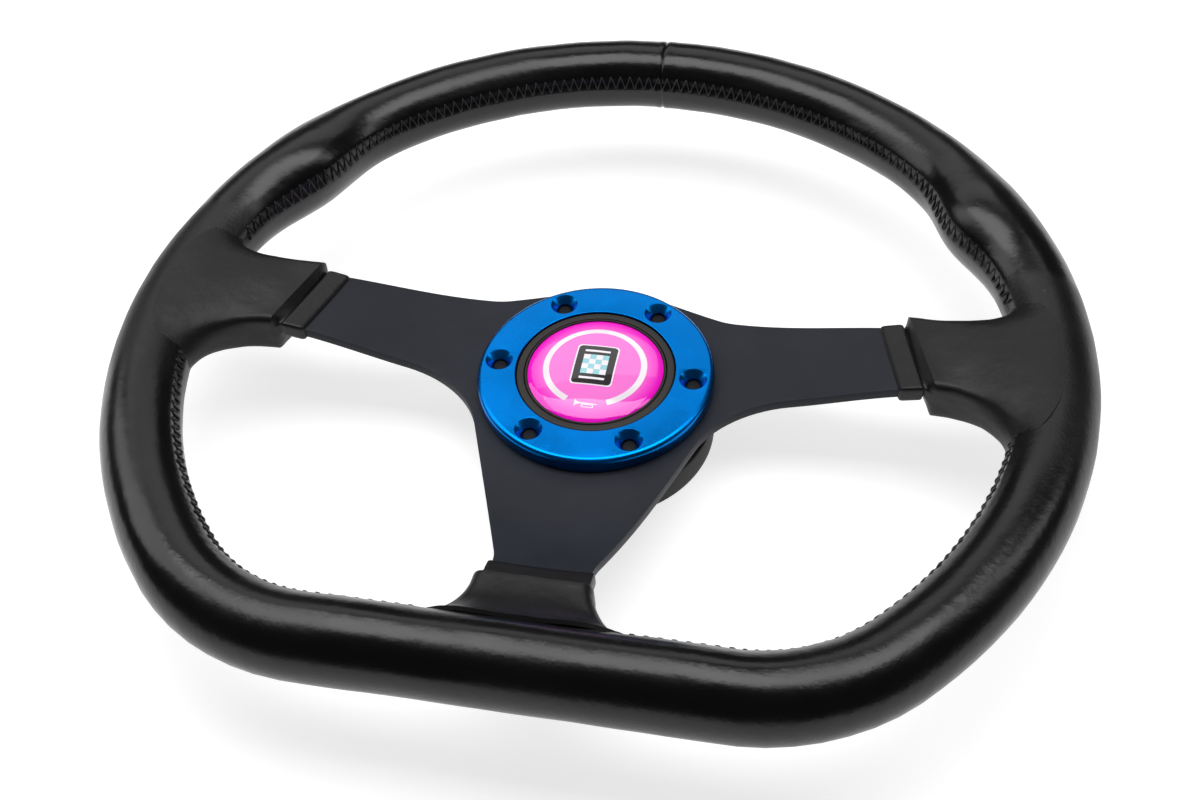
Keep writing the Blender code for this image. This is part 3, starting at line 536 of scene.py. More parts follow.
@dataclass(frozen=True)
class Leather:
    """Smooth or grained black leather, with creases, polish and a little dust."""

    name: str
    slot: str
    colour: tuple[float, float, float]
    roughness: float
    grain: float
    crease: float
    dust: float = 0.0
    gloss: float = 0.5
    sleeve: tuple[float, float] | None = None
    sleeve_fade: float = 0.016
    seam_fade: float = 0.003

    def in_sleeve(self, bench: NodeBench) -> bpy.types.NodeSocket:
        """Gives 1 where the grained leather by the side spokes lies, and 0 elsewhere."""
        low, high = self.sleeve
        split = bench.add("ShaderNodeSeparateXYZ")
        bench.link(bench.place, split.inputs[0])
        across = bench.math("ADD", split.outputs["Y"], -AXIS_Y)
        inside = bench.math("MULTIPLY", bench.ramp(across, low - self.sleeve_fade, low + self.sleeve_fade),
                            bench.ramp(across, high + self.seam_fade, high - self.seam_fade))
        outboard = bench.ramp(bench.math("ABSOLUTE", split.outputs["X"]), *SLEEVE_START)
        return bench.math("MULTIPLY", inside, outboard)

    def build(self) -> bpy.types.Material:
        """Builds the material: pebbled grain, long soft creases, worn polish and specks of dust."""
        bench = NodeBench(self.name)
        pebbles = bench.cells(1150.0, "SMOOTH_F1")
        pores = bench.noise(3800.0, 2.0)
        creases = bench.noise(190.0, 4.0, 0.62)
        wear = bench.noise(26.0, 3.0)
        colour = bench.mix(bench.ramp(wear, 0.35, 0.70), shade(self.colour, 0.85), shade(self.colour, 1.35))
        colour = bench.mix(bench.ramp(pebbles, 0.25, 0.65, 0.0, 0.35), colour, shade(self.colour, 0.55))
        if self.dust > 0.0:
            speck = bench.math("LESS_THAN", bench.cells(85.0), self.dust)
            colour = bench.mix(speck, colour, (0.42, 0.42, 0.42))
        polish = bench.math("ADD", bench.ramp(wear, 0.30, 0.72, self.roughness + 0.05, self.roughness - 0.05),
                            bench.math("MULTIPLY", pores, 0.06))
        normal = bench.bump(creases, self.crease)
        grain = pebbles
        if self.sleeve is not None:
            share = self.in_sleeve(bench)
            polish = bench.math("ADD", polish, bench.math("MULTIPLY", share, 0.15))
            coarser = bench.math("ADD", bench.math("MULTIPLY", share, 3.2), 1.0)
            grain = bench.math("MULTIPLY", pebbles, coarser)
        normal = bench.bump(grain, self.grain, normal)
        normal = bench.bump(pores, self.grain * 0.25, normal)
        bench.set(IOR=1.48, Specular_IOR_Level=self.gloss)
        return bench.finish(colour, polish, normal)


@dataclass(frozen=True)
class Metal:
    """Turned, drawn or painted metal."""

    name: str
    slot: str
    colour: tuple[float, float, float]
    roughness: float
    metallic: float = 1.0
    turning: float = 0.0
    tooth: float = 0.000004
    gloss: float = 0.5

    def build(self) -> bpy.types.Material:
        """Builds the material: fine tooth, patchy sheen and, on turned faces, the tool's fine rings."""
        bench = NodeBench(self.name)
        cloud = bench.noise(42.0, 4.0)
        tooth = bench.noise(5200.0, 2.0)
        colour = bench.mix(bench.ramp(cloud, 0.3, 0.7), shade(self.colour, 0.90), shade(self.colour, 1.10))
        polish = bench.math("ADD", bench.ramp(cloud, 0.3, 0.7, self.roughness - 0.03, self.roughness + 0.03),
                            bench.math("MULTIPLY", tooth, 0.04))
        normal = bench.bump(tooth, self.tooth)
        if self.turning > 0.0:
            phase = bench.math("MULTIPLY", bench.radius(), 2 * math.pi / self.turning)
            wobble = bench.math("ADD", phase, bench.math("MULTIPLY", cloud, 1.5))
            normal = bench.bump(bench.math("SINE", wobble), 0.0000009, normal)
        bench.set(Metallic=self.metallic, Specular_IOR_Level=self.gloss)
        return bench.finish(colour, polish, normal)


@dataclass(frozen=True)
class Moulded:
    """Moulded plastic, rubber, foam or a printed film."""

    name: str
    slot: str
    colour: tuple[float, float, float]
    roughness: float
    texture: float = 2400.0
    depth: float = 0.00001
    coat: float = 0.0
    gloss: float = 0.5

    def build(self) -> bpy.types.Material:
        """Builds the material: spark-eroded texture, faint flow marks and a slight change of colour."""
        bench = NodeBench(self.name)
        flow = bench.noise(60.0, 3.0)
        texture = bench.noise(self.texture, 3.0)
        colour = bench.mix(bench.ramp(flow, 0.3, 0.7), shade(self.colour, 0.93), shade(self.colour, 1.06))
        polish = bench.math("ADD", bench.math("MULTIPLY", texture, 0.10), self.roughness - 0.05)
        normal = bench.bump(flow, self.depth, bench.bump(texture, self.depth))
        bench.set(Coat_Weight=self.coat, Coat_Roughness=0.04, Specular_IOR_Level=self.gloss)
        return bench.finish(colour, polish, normal)


@dataclass(frozen=True)
class ClearDome:
    """Pink film under a poured clear dome, deeper in colour towards its edge."""

    name: str
    slot: str
    middle: tuple[float, float, float]
    edge: tuple[float, float, float]
    radius: float

    def build(self) -> bpy.types.Material:
        """Builds the material: colour that deepens with the radius, under a hard clear coat."""
        bench = NodeBench(self.name)
        cloud = bench.noise(120.0, 2.0)
        share = bench.ramp(bench.radius(), 0.62 * self.radius, 1.01 * self.radius)
        colour = bench.mix(share, self.middle, self.edge)
        colour = bench.mix(bench.ramp(cloud, 0.2, 0.8, 0.0, 0.06), colour, self.edge)
        polish = bench.ramp(cloud, 0.3, 0.7, 0.16, 0.20)
        normal = bench.bump(cloud, 0.00001)
        bench.set(Coat_Weight=1.0, Coat_Roughness=0.02, Coat_IOR=1.5, Specular_IOR_Level=0.0)
        return bench.finish(colour, polish, normal)


class Shop:
    """Holds the finishes, each built once, and hands pieces to their bodies."""

    FINISHES: tuple = (
        Leather("rim_leather", "rim_leather", (0.0016, 0.0015, 0.0015), roughness=0.21, grain=0.000014,
                crease=0.00016, dust=0.010, gloss=0.42, sleeve=(-0.0400, 0.0455)),
        Leather("spoke_leather", "spoke_leather", (0.0046, 0.0044, 0.0044), roughness=0.38, grain=0.000030,
                crease=0.00022, gloss=0.34),
        Moulded("thread", "rim_leather", (0.010, 0.010, 0.011), 0.55, 6000.0, 0.00003),
        Metal("plate", "spoke_plate", (0.0180, 0.0203, 0.0278), 0.42, 0.0, tooth=0.000008, gloss=0.15),
        Metal("blue", "blue_anodised", (0.0006, 0.180, 0.600), 0.25, 1.0, turning=0.00021),
        Metal("black_anodised", "black_anodised", (0.024, 0.023, 0.022), 0.55, 0.15, turning=0.00030,
              gloss=0.25),
        Metal("screw", "screw_steel", (0.006, 0.006, 0.0065), 0.50, 0.20, gloss=0.15),
        Metal("wire", "spring_steel", (0.46, 0.46, 0.47), 0.30, 1.0),
        Metal("ball", "ball_steel", (0.78, 0.78, 0.80), 0.10, 1.0),
        Metal("rod", "rim_frame", (0.60, 0.60, 0.61), 0.36, 1.0),
        Metal("brass", "contact_brass", (0.78, 0.58, 0.25), 0.28, 1.0),
        Moulded("bezel", "black_plastic", (0.026, 0.0235, 0.0205), 0.50, 2600.0, 0.000012, gloss=0.25),
        Moulded("rubber", "black_rubber", (0.018, 0.018, 0.018), 0.72, 1800.0, 0.00002),
        Moulded("foam", "foam", (0.10, 0.10, 0.09), 0.90, 900.0, 0.00012),
        Moulded("white_print", "pink_plastic", (0.93, 0.86, 0.92), 0.22, 3000.0, 0.000002, 1.0, 0.0),
        Moulded("grey_print", "pink_plastic", (0.035, 0.033, 0.035), 0.25, 3000.0, 0.000002, 1.0, 0.0),
        Moulded("sky_print", "pink_plastic", (0.33, 0.66, 0.72), 0.22, 3000.0, 0.000002, 1.0, 0.0),
        ClearDome("dome", "pink_plastic", (0.98, 0.215, 0.70), (0.96, 0.003, 0.60), 0.0255),
    )

    def __init__(self) -> None:
        """Builds every finish once."""
        self.slots = {finish.name: finish.slot for finish in self.FINISHES}
        self.materials = {finish.name: finish.build() for finish in self.FINISHES}

    def dress(self, obj: bpy.types.Object, finish: str) -> None:
        """Gives an object one finish in place of any other."""
        obj.data.materials.clear()
        obj.data.materials.append(self.materials[finish])

    def deliver(self, obj: bpy.types.Object, finish: str, body: str, *nodes: str) -> bpy.types.Object:
        """Dresses a piece, hands it to its body and hides the nodes it stands for.

        Args:
            obj: The piece.
            finish: The finish's name.
            body: The body it moves with.
            *nodes: The nodes it replaces.

        Returns:
            The piece.
        """
        self.dress(obj, finish)
        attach(obj, body)
        if nodes:
            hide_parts(*nodes)
        log.info("%s: %d faces, %s, on %s", obj.name, len(obj.data.polygons), finish, body)
        return obj

    def dress_node(self, name: str, finish: str) -> None:
        """Gives a carried-over node its finish through its material slots."""
        node = frame["nodes"][name]
        for slot in node.material_slots:
            slot.material = self.materials[finish]
        log.info("%s: kept, %s", name, finish)


# ---- rim --------------------------------------------------------------------------------------
def wrapped(angle: np.ndarray) -> np.ndarray:
    """Brings angles into the half turn on either side of zero."""
    return np.mod(angle + math.pi, 2 * math.pi) - math.pi


def ridge(away: np.ndarray, height: np.ndarray | float, width: float) -> np.ndarray:
    """Gives a soft ridge, or a groove where its height is negative.

    Args:
        away: Distances from its middle.
        height: Its height in the middle.
        width: How far out it has fallen to about a third.

    Returns:
        The heights.
    """
    return height * np.exp(-(away / width) ** 2)


@dataclass
class RimPath:
    """The rim's D-shaped centre line and the skin around it."""

    radius: float = 0.1655
    centre_y: float = 0.001
    flat_y: float = -0.136
    corner_radius: float = 0.068
    height: float = 0.046
    tube_radius: float = 0.0142
    thumb_angle: float = math.radians(31.0)
    thumb_spread: float = math.radians(8.0)
    thumb_shift: float = 0.0024
    thumb_swell: float = 0.0023
    thumb_bump: float = 0.0036
    thumb_bump_side: float = math.radians(143.0)
    thumb_bump_width: float = math.radians(48.0)

    def __post_init__(self) -> None:
        """Works out where the arcs and the flat meet, going anticlockwise from the top."""
        corner_y = self.flat_y + self.corner_radius
        between = self.radius - self.corner_radius
        self.corner_x = math.sqrt(between ** 2 - (corner_y - self.centre_y) ** 2)
        self.join_angle = math.atan2(corner_y - self.centre_y, self.corner_x)
        self.arc_length = self.radius * (math.pi / 2 - self.join_angle)
        self.corner_length = self.corner_radius * (math.pi / 2 + self.join_angle)
        self.length = 2 * (self.arc_length + self.corner_length + self.corner_x)

    def line(self, along: np.ndarray) -> tuple[np.ndarray, np.ndarray]:
        """Gives the centre line.

        Args:
            along: Distances from the top of the rim, anticlockwise.

        Returns:
            The points and the outward directions, in X and Y from the steering axis.
        """
        run = np.mod(along, self.length)
        mirrored = run > self.length / 2
        run = np.where(mirrored, self.length - run, run)
        on_arc = run <= self.arc_length
        on_corner = (~on_arc) & (run <= self.arc_length + self.corner_length)
        arc_turn = math.pi / 2 + run / self.radius
        corner_turn = math.pi - self.join_angle + (run - self.arc_length) / self.corner_radius
        turn = np.where(on_arc, arc_turn, np.where(on_corner, corner_turn, 1.5 * math.pi))
        out = np.stack([np.cos(turn), np.sin(turn)], axis=-1)
        past = run - self.arc_length - self.corner_length
        arc = np.array([0.0, self.centre_y]) + out * self.radius
        corner = np.array([-self.corner_x, self.flat_y + self.corner_radius]) + out * self.corner_radius
        flat = np.stack([past - self.corner_x, np.full_like(run, self.flat_y)], axis=-1)
        points = np.where(on_arc[..., None], arc, np.where(on_corner[..., None], corner, flat))
        flip = np.where(mirrored, -1.0, 1.0)
        points[..., 0] *= flip
        out[..., 0] *= flip
        return points, out

    def skin(self, along: np.ndarray, side: np.ndarray,
             lift: np.ndarray | float = 0.0) -> tuple[np.ndarray, np.ndarray]:
        """Gives points on the rim's skin.

        Args:
            along: Distances from the top, anticlockwise.
            side: Angles round the tube; 0 is outward, a quarter turn is up, a half turn is inward.
            lift: Heights over the skin.

        Returns:
            The points and their outward normals.
        """
        centre, out = self.line(along)
        polar = np.arctan2(centre[..., 1], np.abs(centre[..., 0]))
        share = np.exp(-((polar - self.thumb_angle) / self.thumb_spread) ** 2)
        away = wrapped(side - self.thumb_bump_side)
        bump = self.thumb_swell + ridge(away, self.thumb_bump, self.thumb_bump_width)
        reach = self.tube_radius + bump * share + lift
        normals = np.stack([out[..., 0] * np.cos(side), out[..., 1] * np.cos(side), np.sin(side)], axis=-1)
        middle = centre - out * (self.thumb_shift * share)[..., None]
        level = np.full_like(reach, self.height)
        points = np.stack([middle[..., 0], middle[..., 1] + AXIS_Y, level], axis=-1)
        return points + normals * reach[..., None], normals


@dataclass
class Rim:
    """The leather skin of the rim, its butt seam and its laced inner seam."""

    path: RimPath = field(default_factory=RimPath)
    major_steps: int = 960
    minor_steps: int = 64
    crowding: float = 0.80
    lace_side: float = math.radians(160.0)
    lace_pitch: float = 0.0044
    lace_half: float = 0.0027
    thread_radius: float = 0.00036
    arch_rise: float = 0.00062
    arch_sink: float = 0.00035
    thread_steps: int = 8
    thread_sides: int = 6
    torus: tuple[float, float] = (0.16, 0.014)
    lace_groove: tuple[float, float] = (-0.00045, 0.0009)
    lace_lip: tuple[float, float] = (0.00026, 0.0012)
    lace_pucker: tuple[float, float] = (0.00016, 0.0042)
    butt_groove: tuple[float, float] = (-0.00050, 0.00055)
    butt_lip: tuple[float, float] = (0.00016, 0.0012)
    butt_lip_at: float = 0.0018
    sleeve_high: float = 0.0455
    sleeve_groove: tuple[float, float] = (-0.00022, 0.0006)
    sleeve_lip: tuple[float, float] = (0.00008, 0.001)
    sleeve_lip_at: float = 0.0016
    lap_side: float = math.radians(96.0)
    lap_step: float = 0.00030
    lap_edge: float = 0.00035
    lap_width: float = 0.009
    lap_run_in: float = 0.03

    def seam_relief(self, along: np.ndarray, side: np.ndarray) -> np.ndarray:
        """Gives the skin's height change at its seams. Each seam's shape is a (height, width) pair.

        Args:
            along: Distances from the top.
            side: Angles round the tube.

        Returns:
            The lifts.
        """
        away = wrapped(side - self.lace_side) * self.path.tube_radius
        groove = ridge(away, *self.lace_groove)
        lips = ridge(np.abs(away) - self.lace_half, *self.lace_lip)
        pull = np.cos(2 * math.pi * along / self.lace_pitch + np.sign(away) * math.pi / 2)
        pucker = ridge(away, self.lace_pucker[0] * pull, self.lace_pucker[1])
        nearest = np.abs(np.mod(along + self.path.length / 2, self.path.length) - self.path.length / 2)
        butt = ridge(nearest, *self.butt_groove) + ridge(nearest - self.butt_lip_at, *self.butt_lip)
        centre, _ = self.path.line(along)
        across = np.where(np.abs(centre[..., 0]) > SLEEVE_START[0], centre[..., 1] - self.sleeve_high, 1.0)
        butt += ridge(across, *self.sleeve_groove) + ridge(across - self.sleeve_lip_at, *self.sleeve_lip)
        lap_away = (side - self.lap_side) * self.path.tube_radius
        low = np.clip((nearest - self.path.arc_length) / self.lap_run_in, 0.0, 1.0)
        step = self.lap_step * low / (1.0 + np.exp(-lap_away / self.lap_edge))
        lap = ridge(np.maximum(lap_away, 0), step, self.lap_width)
        return groove + lips + pucker + butt + lap

    def build_skin(self) -> bpy.types.Object:
        """Bends a torus primitive round the rim's line and works the seams into it."""
        major, minor = self.torus
        obj = primitive("rim_skin", bpy.ops.mesh.primitive_torus_add, major_segments=self.major_steps,
                        minor_segments=self.minor_steps, major_radius=major, minor_radius=minor)
        start = read_points(obj)
        share = np.mod((np.arctan2(start[:, 1], start[:, 0]) - math.pi / 2) / (2 * math.pi), 1.0)
        along = (share - self.crowding * np.sin(2 * math.pi * share) / (2 * math.pi)) * self.path.length
        inward = np.hypot(start[:, 0], start[:, 1]) - major
        side = np.mod(np.arctan2(start[:, 2], inward), 2 * math.pi)
        points, normals = self.path.skin(along, side, self.seam_relief(along, side))
        points = roughen(points, normals, 0.00022, 0.016, 3.7)
        points = roughen(points, normals, 0.00007, 0.005, 8.1)
        write_points(obj, points)
        smooth(obj, math.radians(60.0))
        return obj

    def build_lacing(self) -> bpy.types.Object:
        """Lays a zigzag thread over the inner seam, one short stitch after another."""
        count = int(self.path.length / self.lace_pitch)
        pitch = self.path.length / count
        stitch = primitive("stitch", bpy.ops.mesh.primitive_cylinder_add, vertices=self.thread_sides,
                           radius=1.0, depth=2.0, end_fill_type="NGON")
        with editing(stitch):
            for step in range(1, self.thread_steps):
                bpy.ops.mesh.select_all(action="SELECT")
                bpy.ops.mesh.bisect(plane_co=(0, 0, 2 * step / self.thread_steps - 1), plane_no=(0, 0, 1))
        base = read_points(stitch)
        pieces = []
        for index in range(2 * count):
            if self.hidden_by_cover((index / 2) * pitch):
                continue
            lean = 1.0 if index % 2 else -1.0
            run = base[:, 2]
            along = (index / 2 + 0.25 * run) * pitch + self.thread_radius * base[:, 0]
            side = self.lace_side + lean * run * self.lace_half / self.path.tube_radius
            arch = self.arch_rise * np.sqrt(np.maximum(0.0, 1.0 - run ** 4)) - self.arch_sink
            lift = self.seam_relief(along, side) + arch + self.thread_radius * base[:, 1]
            piece = copied(stitch, "stitch", Matrix.Identity(4))
            write_points(piece, self.path.skin(along, side, lift)[0])
            pieces.append(piece)
        bpy.data.objects.remove(stitch, do_unlink=True)
        obj = joined("rim_lacing", pieces)
        tidy(obj, 1e-7)
        smooth(obj, math.radians(60.0))
        return obj

    def hidden_by_cover(self, along: float) -> bool:
        """Says whether a place on the inner seam lies under a spoke's cover."""
        centre, _ = self.path.line(np.array([along]))
        x, y = centre[0]
        return (-0.030 < y < 0.040) or (y < -0.12 and abs(x) < 0.033)

    def build(self, shop: Shop) -> None:
        """Builds and delivers the rim's visible pieces and dresses what is inside."""
        skin = shop.deliver(self.build_skin(), "rim_leather", WHEEL, "rim_leather")
        shop.deliver(self.build_lacing(), "thread", WHEEL)
        shop.dress_node("rim_core", "rod")
        shop.dress_node("rim_foam", "foam")


# ---- spokes -----------------------------------------------------------------------------------
@dataclass
class SpokePlate:
    """The dished three-spoke plate."""

    thickness: float = 0.004
    rear_z: float = 0.024
    hub_radius: float = 0.048
    shoulder: tuple[float, float] = (0.0447, 0.0353)
    shoulder_fillet: float = 0.040
    top_slope: float = -0.149
    bottom_y: float = -0.0042
    crotch_x: float = 0.0495
    crotch_fillet: float = 0.034
    foot_half: float = 0.017
    foot_taper: float = 0.38
    foot_fillet: float = 0.020
    side_end: float = 0.1598
    foot_end: float = -0.1304
    dish_height: float = 0.020
    dish_start: float = 0.0448
    dish_end: float = 0.1340
    foot_delay: float = 0.015
    bore_radius: float = 0.0255
    bolt_circle: float = 0.037
    bolt_hole: float = 0.0027
    edge_radius: float = 0.00045
    cell: float = 0.0045

    def dish(self, x: np.ndarray, y: np.ndarray) -> np.ndarray:
        """Gives the height of the plate's middle surface over its flat hub.

        Args:
            x: Places across, from the steering axis.
            y: Places up the wheel, from the steering axis.

        Returns:
            The heights.
        """
        radius = np.maximum(np.hypot(x, y), 1e-6)
        start = self.dish_start + np.where(y < 0.0, self.foot_delay * (y / radius) ** 2, 0.0)
        share = np.clip((radius - start) / (self.dish_end - start), 0.0, 1.0)
        return self.dish_height * share * share * (3.0 - 2.0 * share)

    def middle(self, x: np.ndarray, y: np.ndarray) -> np.ndarray:
        """Gives the height of the plate's middle surface."""
        return self.rear_z + self.thickness / 2 + self.dish(x, y)

    def outline(self) -> Profile:
        """Gives the plate's outline, anticlockwise from its top."""
        shoulder_x, shoulder_y = self.shoulder
        tilt = math.atan2(shoulder_y, shoulder_x) + math.acos(self.hub_radius / math.hypot(*self.shoulder))
        end_top = shoulder_y + self.top_slope * (self.side_end - shoulder_x)
        narrow_y = self.bottom_y - (self.crotch_x - self.foot_half) / self.foot_taper
        half = [
            (shoulder_x, shoulder_y, self.shoulder_fillet), (self.side_end, end_top, 0.001),
            (self.side_end, self.bottom_y, 0.001), (self.crotch_x, self.bottom_y, self.crotch_fillet),
            (self.foot_half, narrow_y, self.foot_fillet), (self.foot_half, self.foot_end, 0.001),
        ]
        mirrored = [(-x, y, radius) for x, y, radius in reversed(half)]
        return rounded([(0.0, self.hub_radius / math.sin(tilt), self.hub_radius)] + half + mirrored, 14)

    def build(self, shop: Shop) -> None:
        """Cuts the plate flat, eases its edges, then presses the dish into it."""
        obj = filled_outline("spoke_plate_pressed", self.outline(), self.rear_z)
        with editing(obj):
            bpy.ops.mesh.extrude_region_move(TRANSFORM_OT_translate={"value": (0, 0, self.thickness)})
        tidy(obj)
        low, high = self.rear_z - self.thickness, self.rear_z + 2 * self.thickness
        cut_away(obj, lathe("bore", [(0, low), (self.bore_radius, low), (self.bore_radius, high), (0, high)]))
        drill = [(0, low), (self.bolt_hole, low), (self.bolt_hole, high), (0, high)]
        for angle in around(BOLT_COUNT):
            cut_away(obj, lathe("drill", drill, SMALL_STEPS, at_radius(angle, self.bolt_circle)))
        ease_edges(obj, self.edge_radius, 3, 50.0)
        score_grid(obj, self.cell)
        points = read_points(obj)
        points[:, 2] += self.dish(points[:, 0], points[:, 1] - AXIS_Y)
        write_points(obj, points)
        tidy(obj)
        smooth(obj)
        shop.deliver(obj, "plate", WHEEL, "spoke_plate")


@dataclass
class SpokeFrame:
    """Where a spoke runs, seen from the steering axis, with lengths towards the rim."""

    spoke: Spoke
    plate: SpokePlate

    def __post_init__(self) -> None:
        """Sets the spoke's direction and the direction across it."""
        ways = {Spoke.LEFT: ((-1, 0), (0, 1)), Spoke.RIGHT: ((1, 0), (0, 1)), Spoke.BOTTOM: ((0, -1), (1, 0))}
        out, across = ways[self.spoke]
        self.out = np.array(out, float)
        self.across = np.array(across, float)

    def point(self, reach: np.ndarray, across: np.ndarray, height: np.ndarray) -> np.ndarray:
        """Turns spoke coordinates into points.

        Args:
            reach: Distances from the axis along the spoke.
            across: Distances across it.
            height: Heights over the floor.

        Returns:
            The points.
        """
        flat = reach[..., None] * self.out + across[..., None] * self.across
        return np.stack([flat[..., 0], flat[..., 1] + AXIS_Y, height], axis=-1)

    def middle(self, reach: np.ndarray, across: np.ndarray) -> np.ndarray:
        """Gives the plate's middle height at spoke coordinates."""
        flat = reach[..., None] * self.out + across[..., None] * self.across
        return self.plate.middle(flat[..., 0], flat[..., 1])


def box_section(share: np.ndarray, low: float, high: float, bottom: float, top: float,
                radius: float) -> tuple[np.ndarray, np.ndarray]:
    """Gives points round a box with round corners, evenly by distance.

    Args:
        share: Places round the box from 0 to 1, anticlockwise from the middle of the high side.
        low: The box's low end across.
        high: Its high end across.
        bottom: Its bottom.
        top: Its top.
        radius: The corners' radius.

    Returns:
        The distances across and the heights.
    """
    width, depth = (high - low) / 2 - radius, (top - bottom) / 2 - radius
    corner = radius * math.pi / 2
    parts = [depth, corner, 2 * width, corner, 2 * depth, corner, 2 * width, corner, depth]
    ends = np.cumsum([0.0] + parts)
    run = np.mod(share, 1.0) * ends[-1]
    index = np.clip(np.searchsorted(ends, run, side="right") - 1, 0, 8)
    local = run - ends[index]
    in_corner = (index // 2) * math.pi / 2 + local / max(radius, 1e-9)
    turn = np.where(index % 2 == 1, in_corner, ((index + 1) // 2) * math.pi / 2)
    along = np.where(index % 2 == 0, local, 0.0)
    starts = np.array([[width, 0.0], [width, depth], [width, depth], [-width, depth], [-width, depth],
                       [-width, -depth], [-width, -depth], [width, -depth], [width, -depth]])
    ways = np.array([[0, 1], [0, 0], [-1, 0], [0, 0], [0, -1], [0, 0], [1, 0], [0, 0], [0, 1]], float)
    base = starts[index] + ways[index] * along[..., None]
    across = base[..., 0] + radius * np.cos(turn) + (high + low) / 2
    height = base[..., 1] + radius * np.sin(turn) + (top + bottom) / 2
    return across, height


@dataclass
class SpokeLeather:
    """The thin strap and the thick cover that dress the rim end of one spoke."""

    frame: SpokeFrame
    path: RimPath
    slot_start: float
    slot_slant: float
    ridge_start: float
    ridge_slant: float
    pivot: float
    plate_low: float
    plate_high: float
    cover_low: float
    cover_high: float
    bottom: float
    top: float
    mouth_low: float
    mouth_high: float
    strap_width: float
    mouth_up: float = math.radians(90.0)
    mouth_down: float = math.radians(52.0)
    reach_near: float = 0.012
    reach_rim: float = 0.013
    corner: float = 0.0028
    wall: float = 0.0014
    slot_half: float = 0.0024
    slot_corner: float = 0.0006
    strap_lift: float = 0.0011
    rows: int = 34
    columns: int = 112
    squareness: float = 2.6

    def edge(self, start: float, slant: float, across: np.ndarray) -> np.ndarray:
        """Gives how far out a slanted line across the spoke lies."""
        return start + slant * (self.pivot - across)

    def mouth(self, share: np.ndarray) -> tuple[np.ndarray, np.ndarray]:
        """Gives the cover's mouth on the rim's skin and the direction in which it runs out.

        Args:
            share: Places round the mouth.

        Returns:
            The points and the run-out directions.
        """
        turn = 2 * math.pi * share
        power = 2.0 / self.squareness
        side = np.sign(np.cos(turn)) * np.abs(np.cos(turn)) ** power
        rise = np.sign(np.sin(turn)) * np.abs(np.sin(turn)) ** power
        middle, half = (self.mouth_high + self.mouth_low) / 2, (self.mouth_high - self.mouth_low) / 2
        across = middle + half * side
        climb = np.where(rise > 0, self.mouth_up, self.mouth_down) * rise
        along = self.along_rim(across)
        sunk = -0.0005 + 0.0009 * np.clip((rise - 0.55) / 0.3, 0.0, 1.0)
        points, _ = self.path.skin(along, math.pi - climb, sunk)
        step = 1e-4
        further = np.where(rise > 0, 1.0, -1.0) * step * np.abs(rise) / self.path.tube_radius
        spread, _ = self.path.skin(self.along_rim(across + step * side * half / abs(half)),
                                   math.pi - climb - further, sunk)
        away = spread - points
        return points, away / np.maximum(np.linalg.norm(away, axis=-1, keepdims=True), 1e-12)

    def along_rim(self, across: np.ndarray) -> np.ndarray:
        """Gives the rim's running length at a distance across this spoke."""
        if self.frame.spoke is Spoke.BOTTOM:
            return self.path.length / 2 + across
        run = self.path.radius * (math.pi / 2 - np.arcsin((across - self.path.centre_y) / self.path.radius))
        return run if self.frame.spoke is Spoke.LEFT else self.path.length - run

    def build_cover(self) -> bpy.types.Object:
        """Lofts the cover from its slot round the plate, over its ridge, to its mouth on the rim."""
        near_rows = 5

        def place(along: np.ndarray, share: np.ndarray) -> np.ndarray:
            """Gives the loft's points."""
            across, height = box_section(share, self.cover_low, self.cover_high, self.bottom, self.top,
                                         self.corner)
            brow = self.frame.point(self.edge(self.ridge_start, self.ridge_slant, across), across, height)
            slot_across, rise = box_section(share, self.plate_low - GAP, self.plate_high + GAP,
                                            -self.slot_half, self.slot_half, self.slot_corner)
            slot_reach = self.edge(self.slot_start, self.slot_slant, slot_across)
            slot_height = self.frame.middle(slot_reach, slot_across) + rise
            slot = self.frame.point(slot_reach, slot_across, slot_height)
            end, away = self.mouth(share)
            out = self.frame.point(np.ones(1), np.zeros(1), np.zeros(1))[0] - np.array([0, AXIS_Y, 0])
            first = brow + out * self.reach_near
            second = end - away * self.reach_rim
            split = near_rows / self.rows
            t = np.clip((along - split) / (1 - split), 0.0, 1.0)[:, None]
            loft = ((1 - t) ** 3 * brow + 3 * (1 - t) ** 2 * t * first
                    + 3 * (1 - t) * t ** 2 * second + t ** 3 * end)
            near = np.clip(along / split, 0.0, 1.0)[:, None]
            face = slot + (brow - slot) * near ** 0.9
            return np.where(along[:, None] < split - 1e-6, face, loft)

        obj = grid_loft("cover_%s_skin" % self.frame.spoke.value, self.rows, self.columns, place)
        tidy(obj, 1e-6)
        normals = np.array([vert.normal for vert in obj.data.vertices])
        points = roughen(read_points(obj), normals, 0.00030, 0.011, 5.0 + self.mouth_low * 100)
        write_points(obj, roughen(points, normals, 0.00010, 0.0035, 2.0))
        apply_modifier(obj, "SOLIDIFY", thickness=self.wall, offset=-1.0)
        smooth(obj, math.radians(42.0))
        return obj

    def build_strap(self) -> bpy.types.Object:
        """Wraps a thin soft-edged band round the plate, up against the cover."""

        def place(along: np.ndarray, share: np.ndarray) -> np.ndarray:
            """Gives the band's points: over its outer face and back along its inner one."""
            outside = along <= 0.5
            travel = np.where(outside, along * 2, 2 - along * 2)
            swell = self.strap_lift * np.clip(1 - np.abs(2 * travel - 1) ** 7, 0.0, 1.0) ** 0.5
            lift = np.where(outside, GAP + swell, GAP * 0.6)
            across, rise = box_section(share, self.plate_low, self.plate_high, -0.0020, 0.0020, 0.0008)
            middle = (self.plate_low + self.plate_high) / 2
            half = (self.plate_high - self.plate_low) / 2
            across = middle + (across - middle) * (1 + lift / half)
            rise = rise * (1 + lift / 0.0020)
            far_edge = self.edge(self.slot_start - 0.0002, self.slot_slant, across)
            reach = far_edge - self.strap_width * (1 - travel)
            return self.frame.point(reach, across, self.frame.middle(reach, across) + rise)

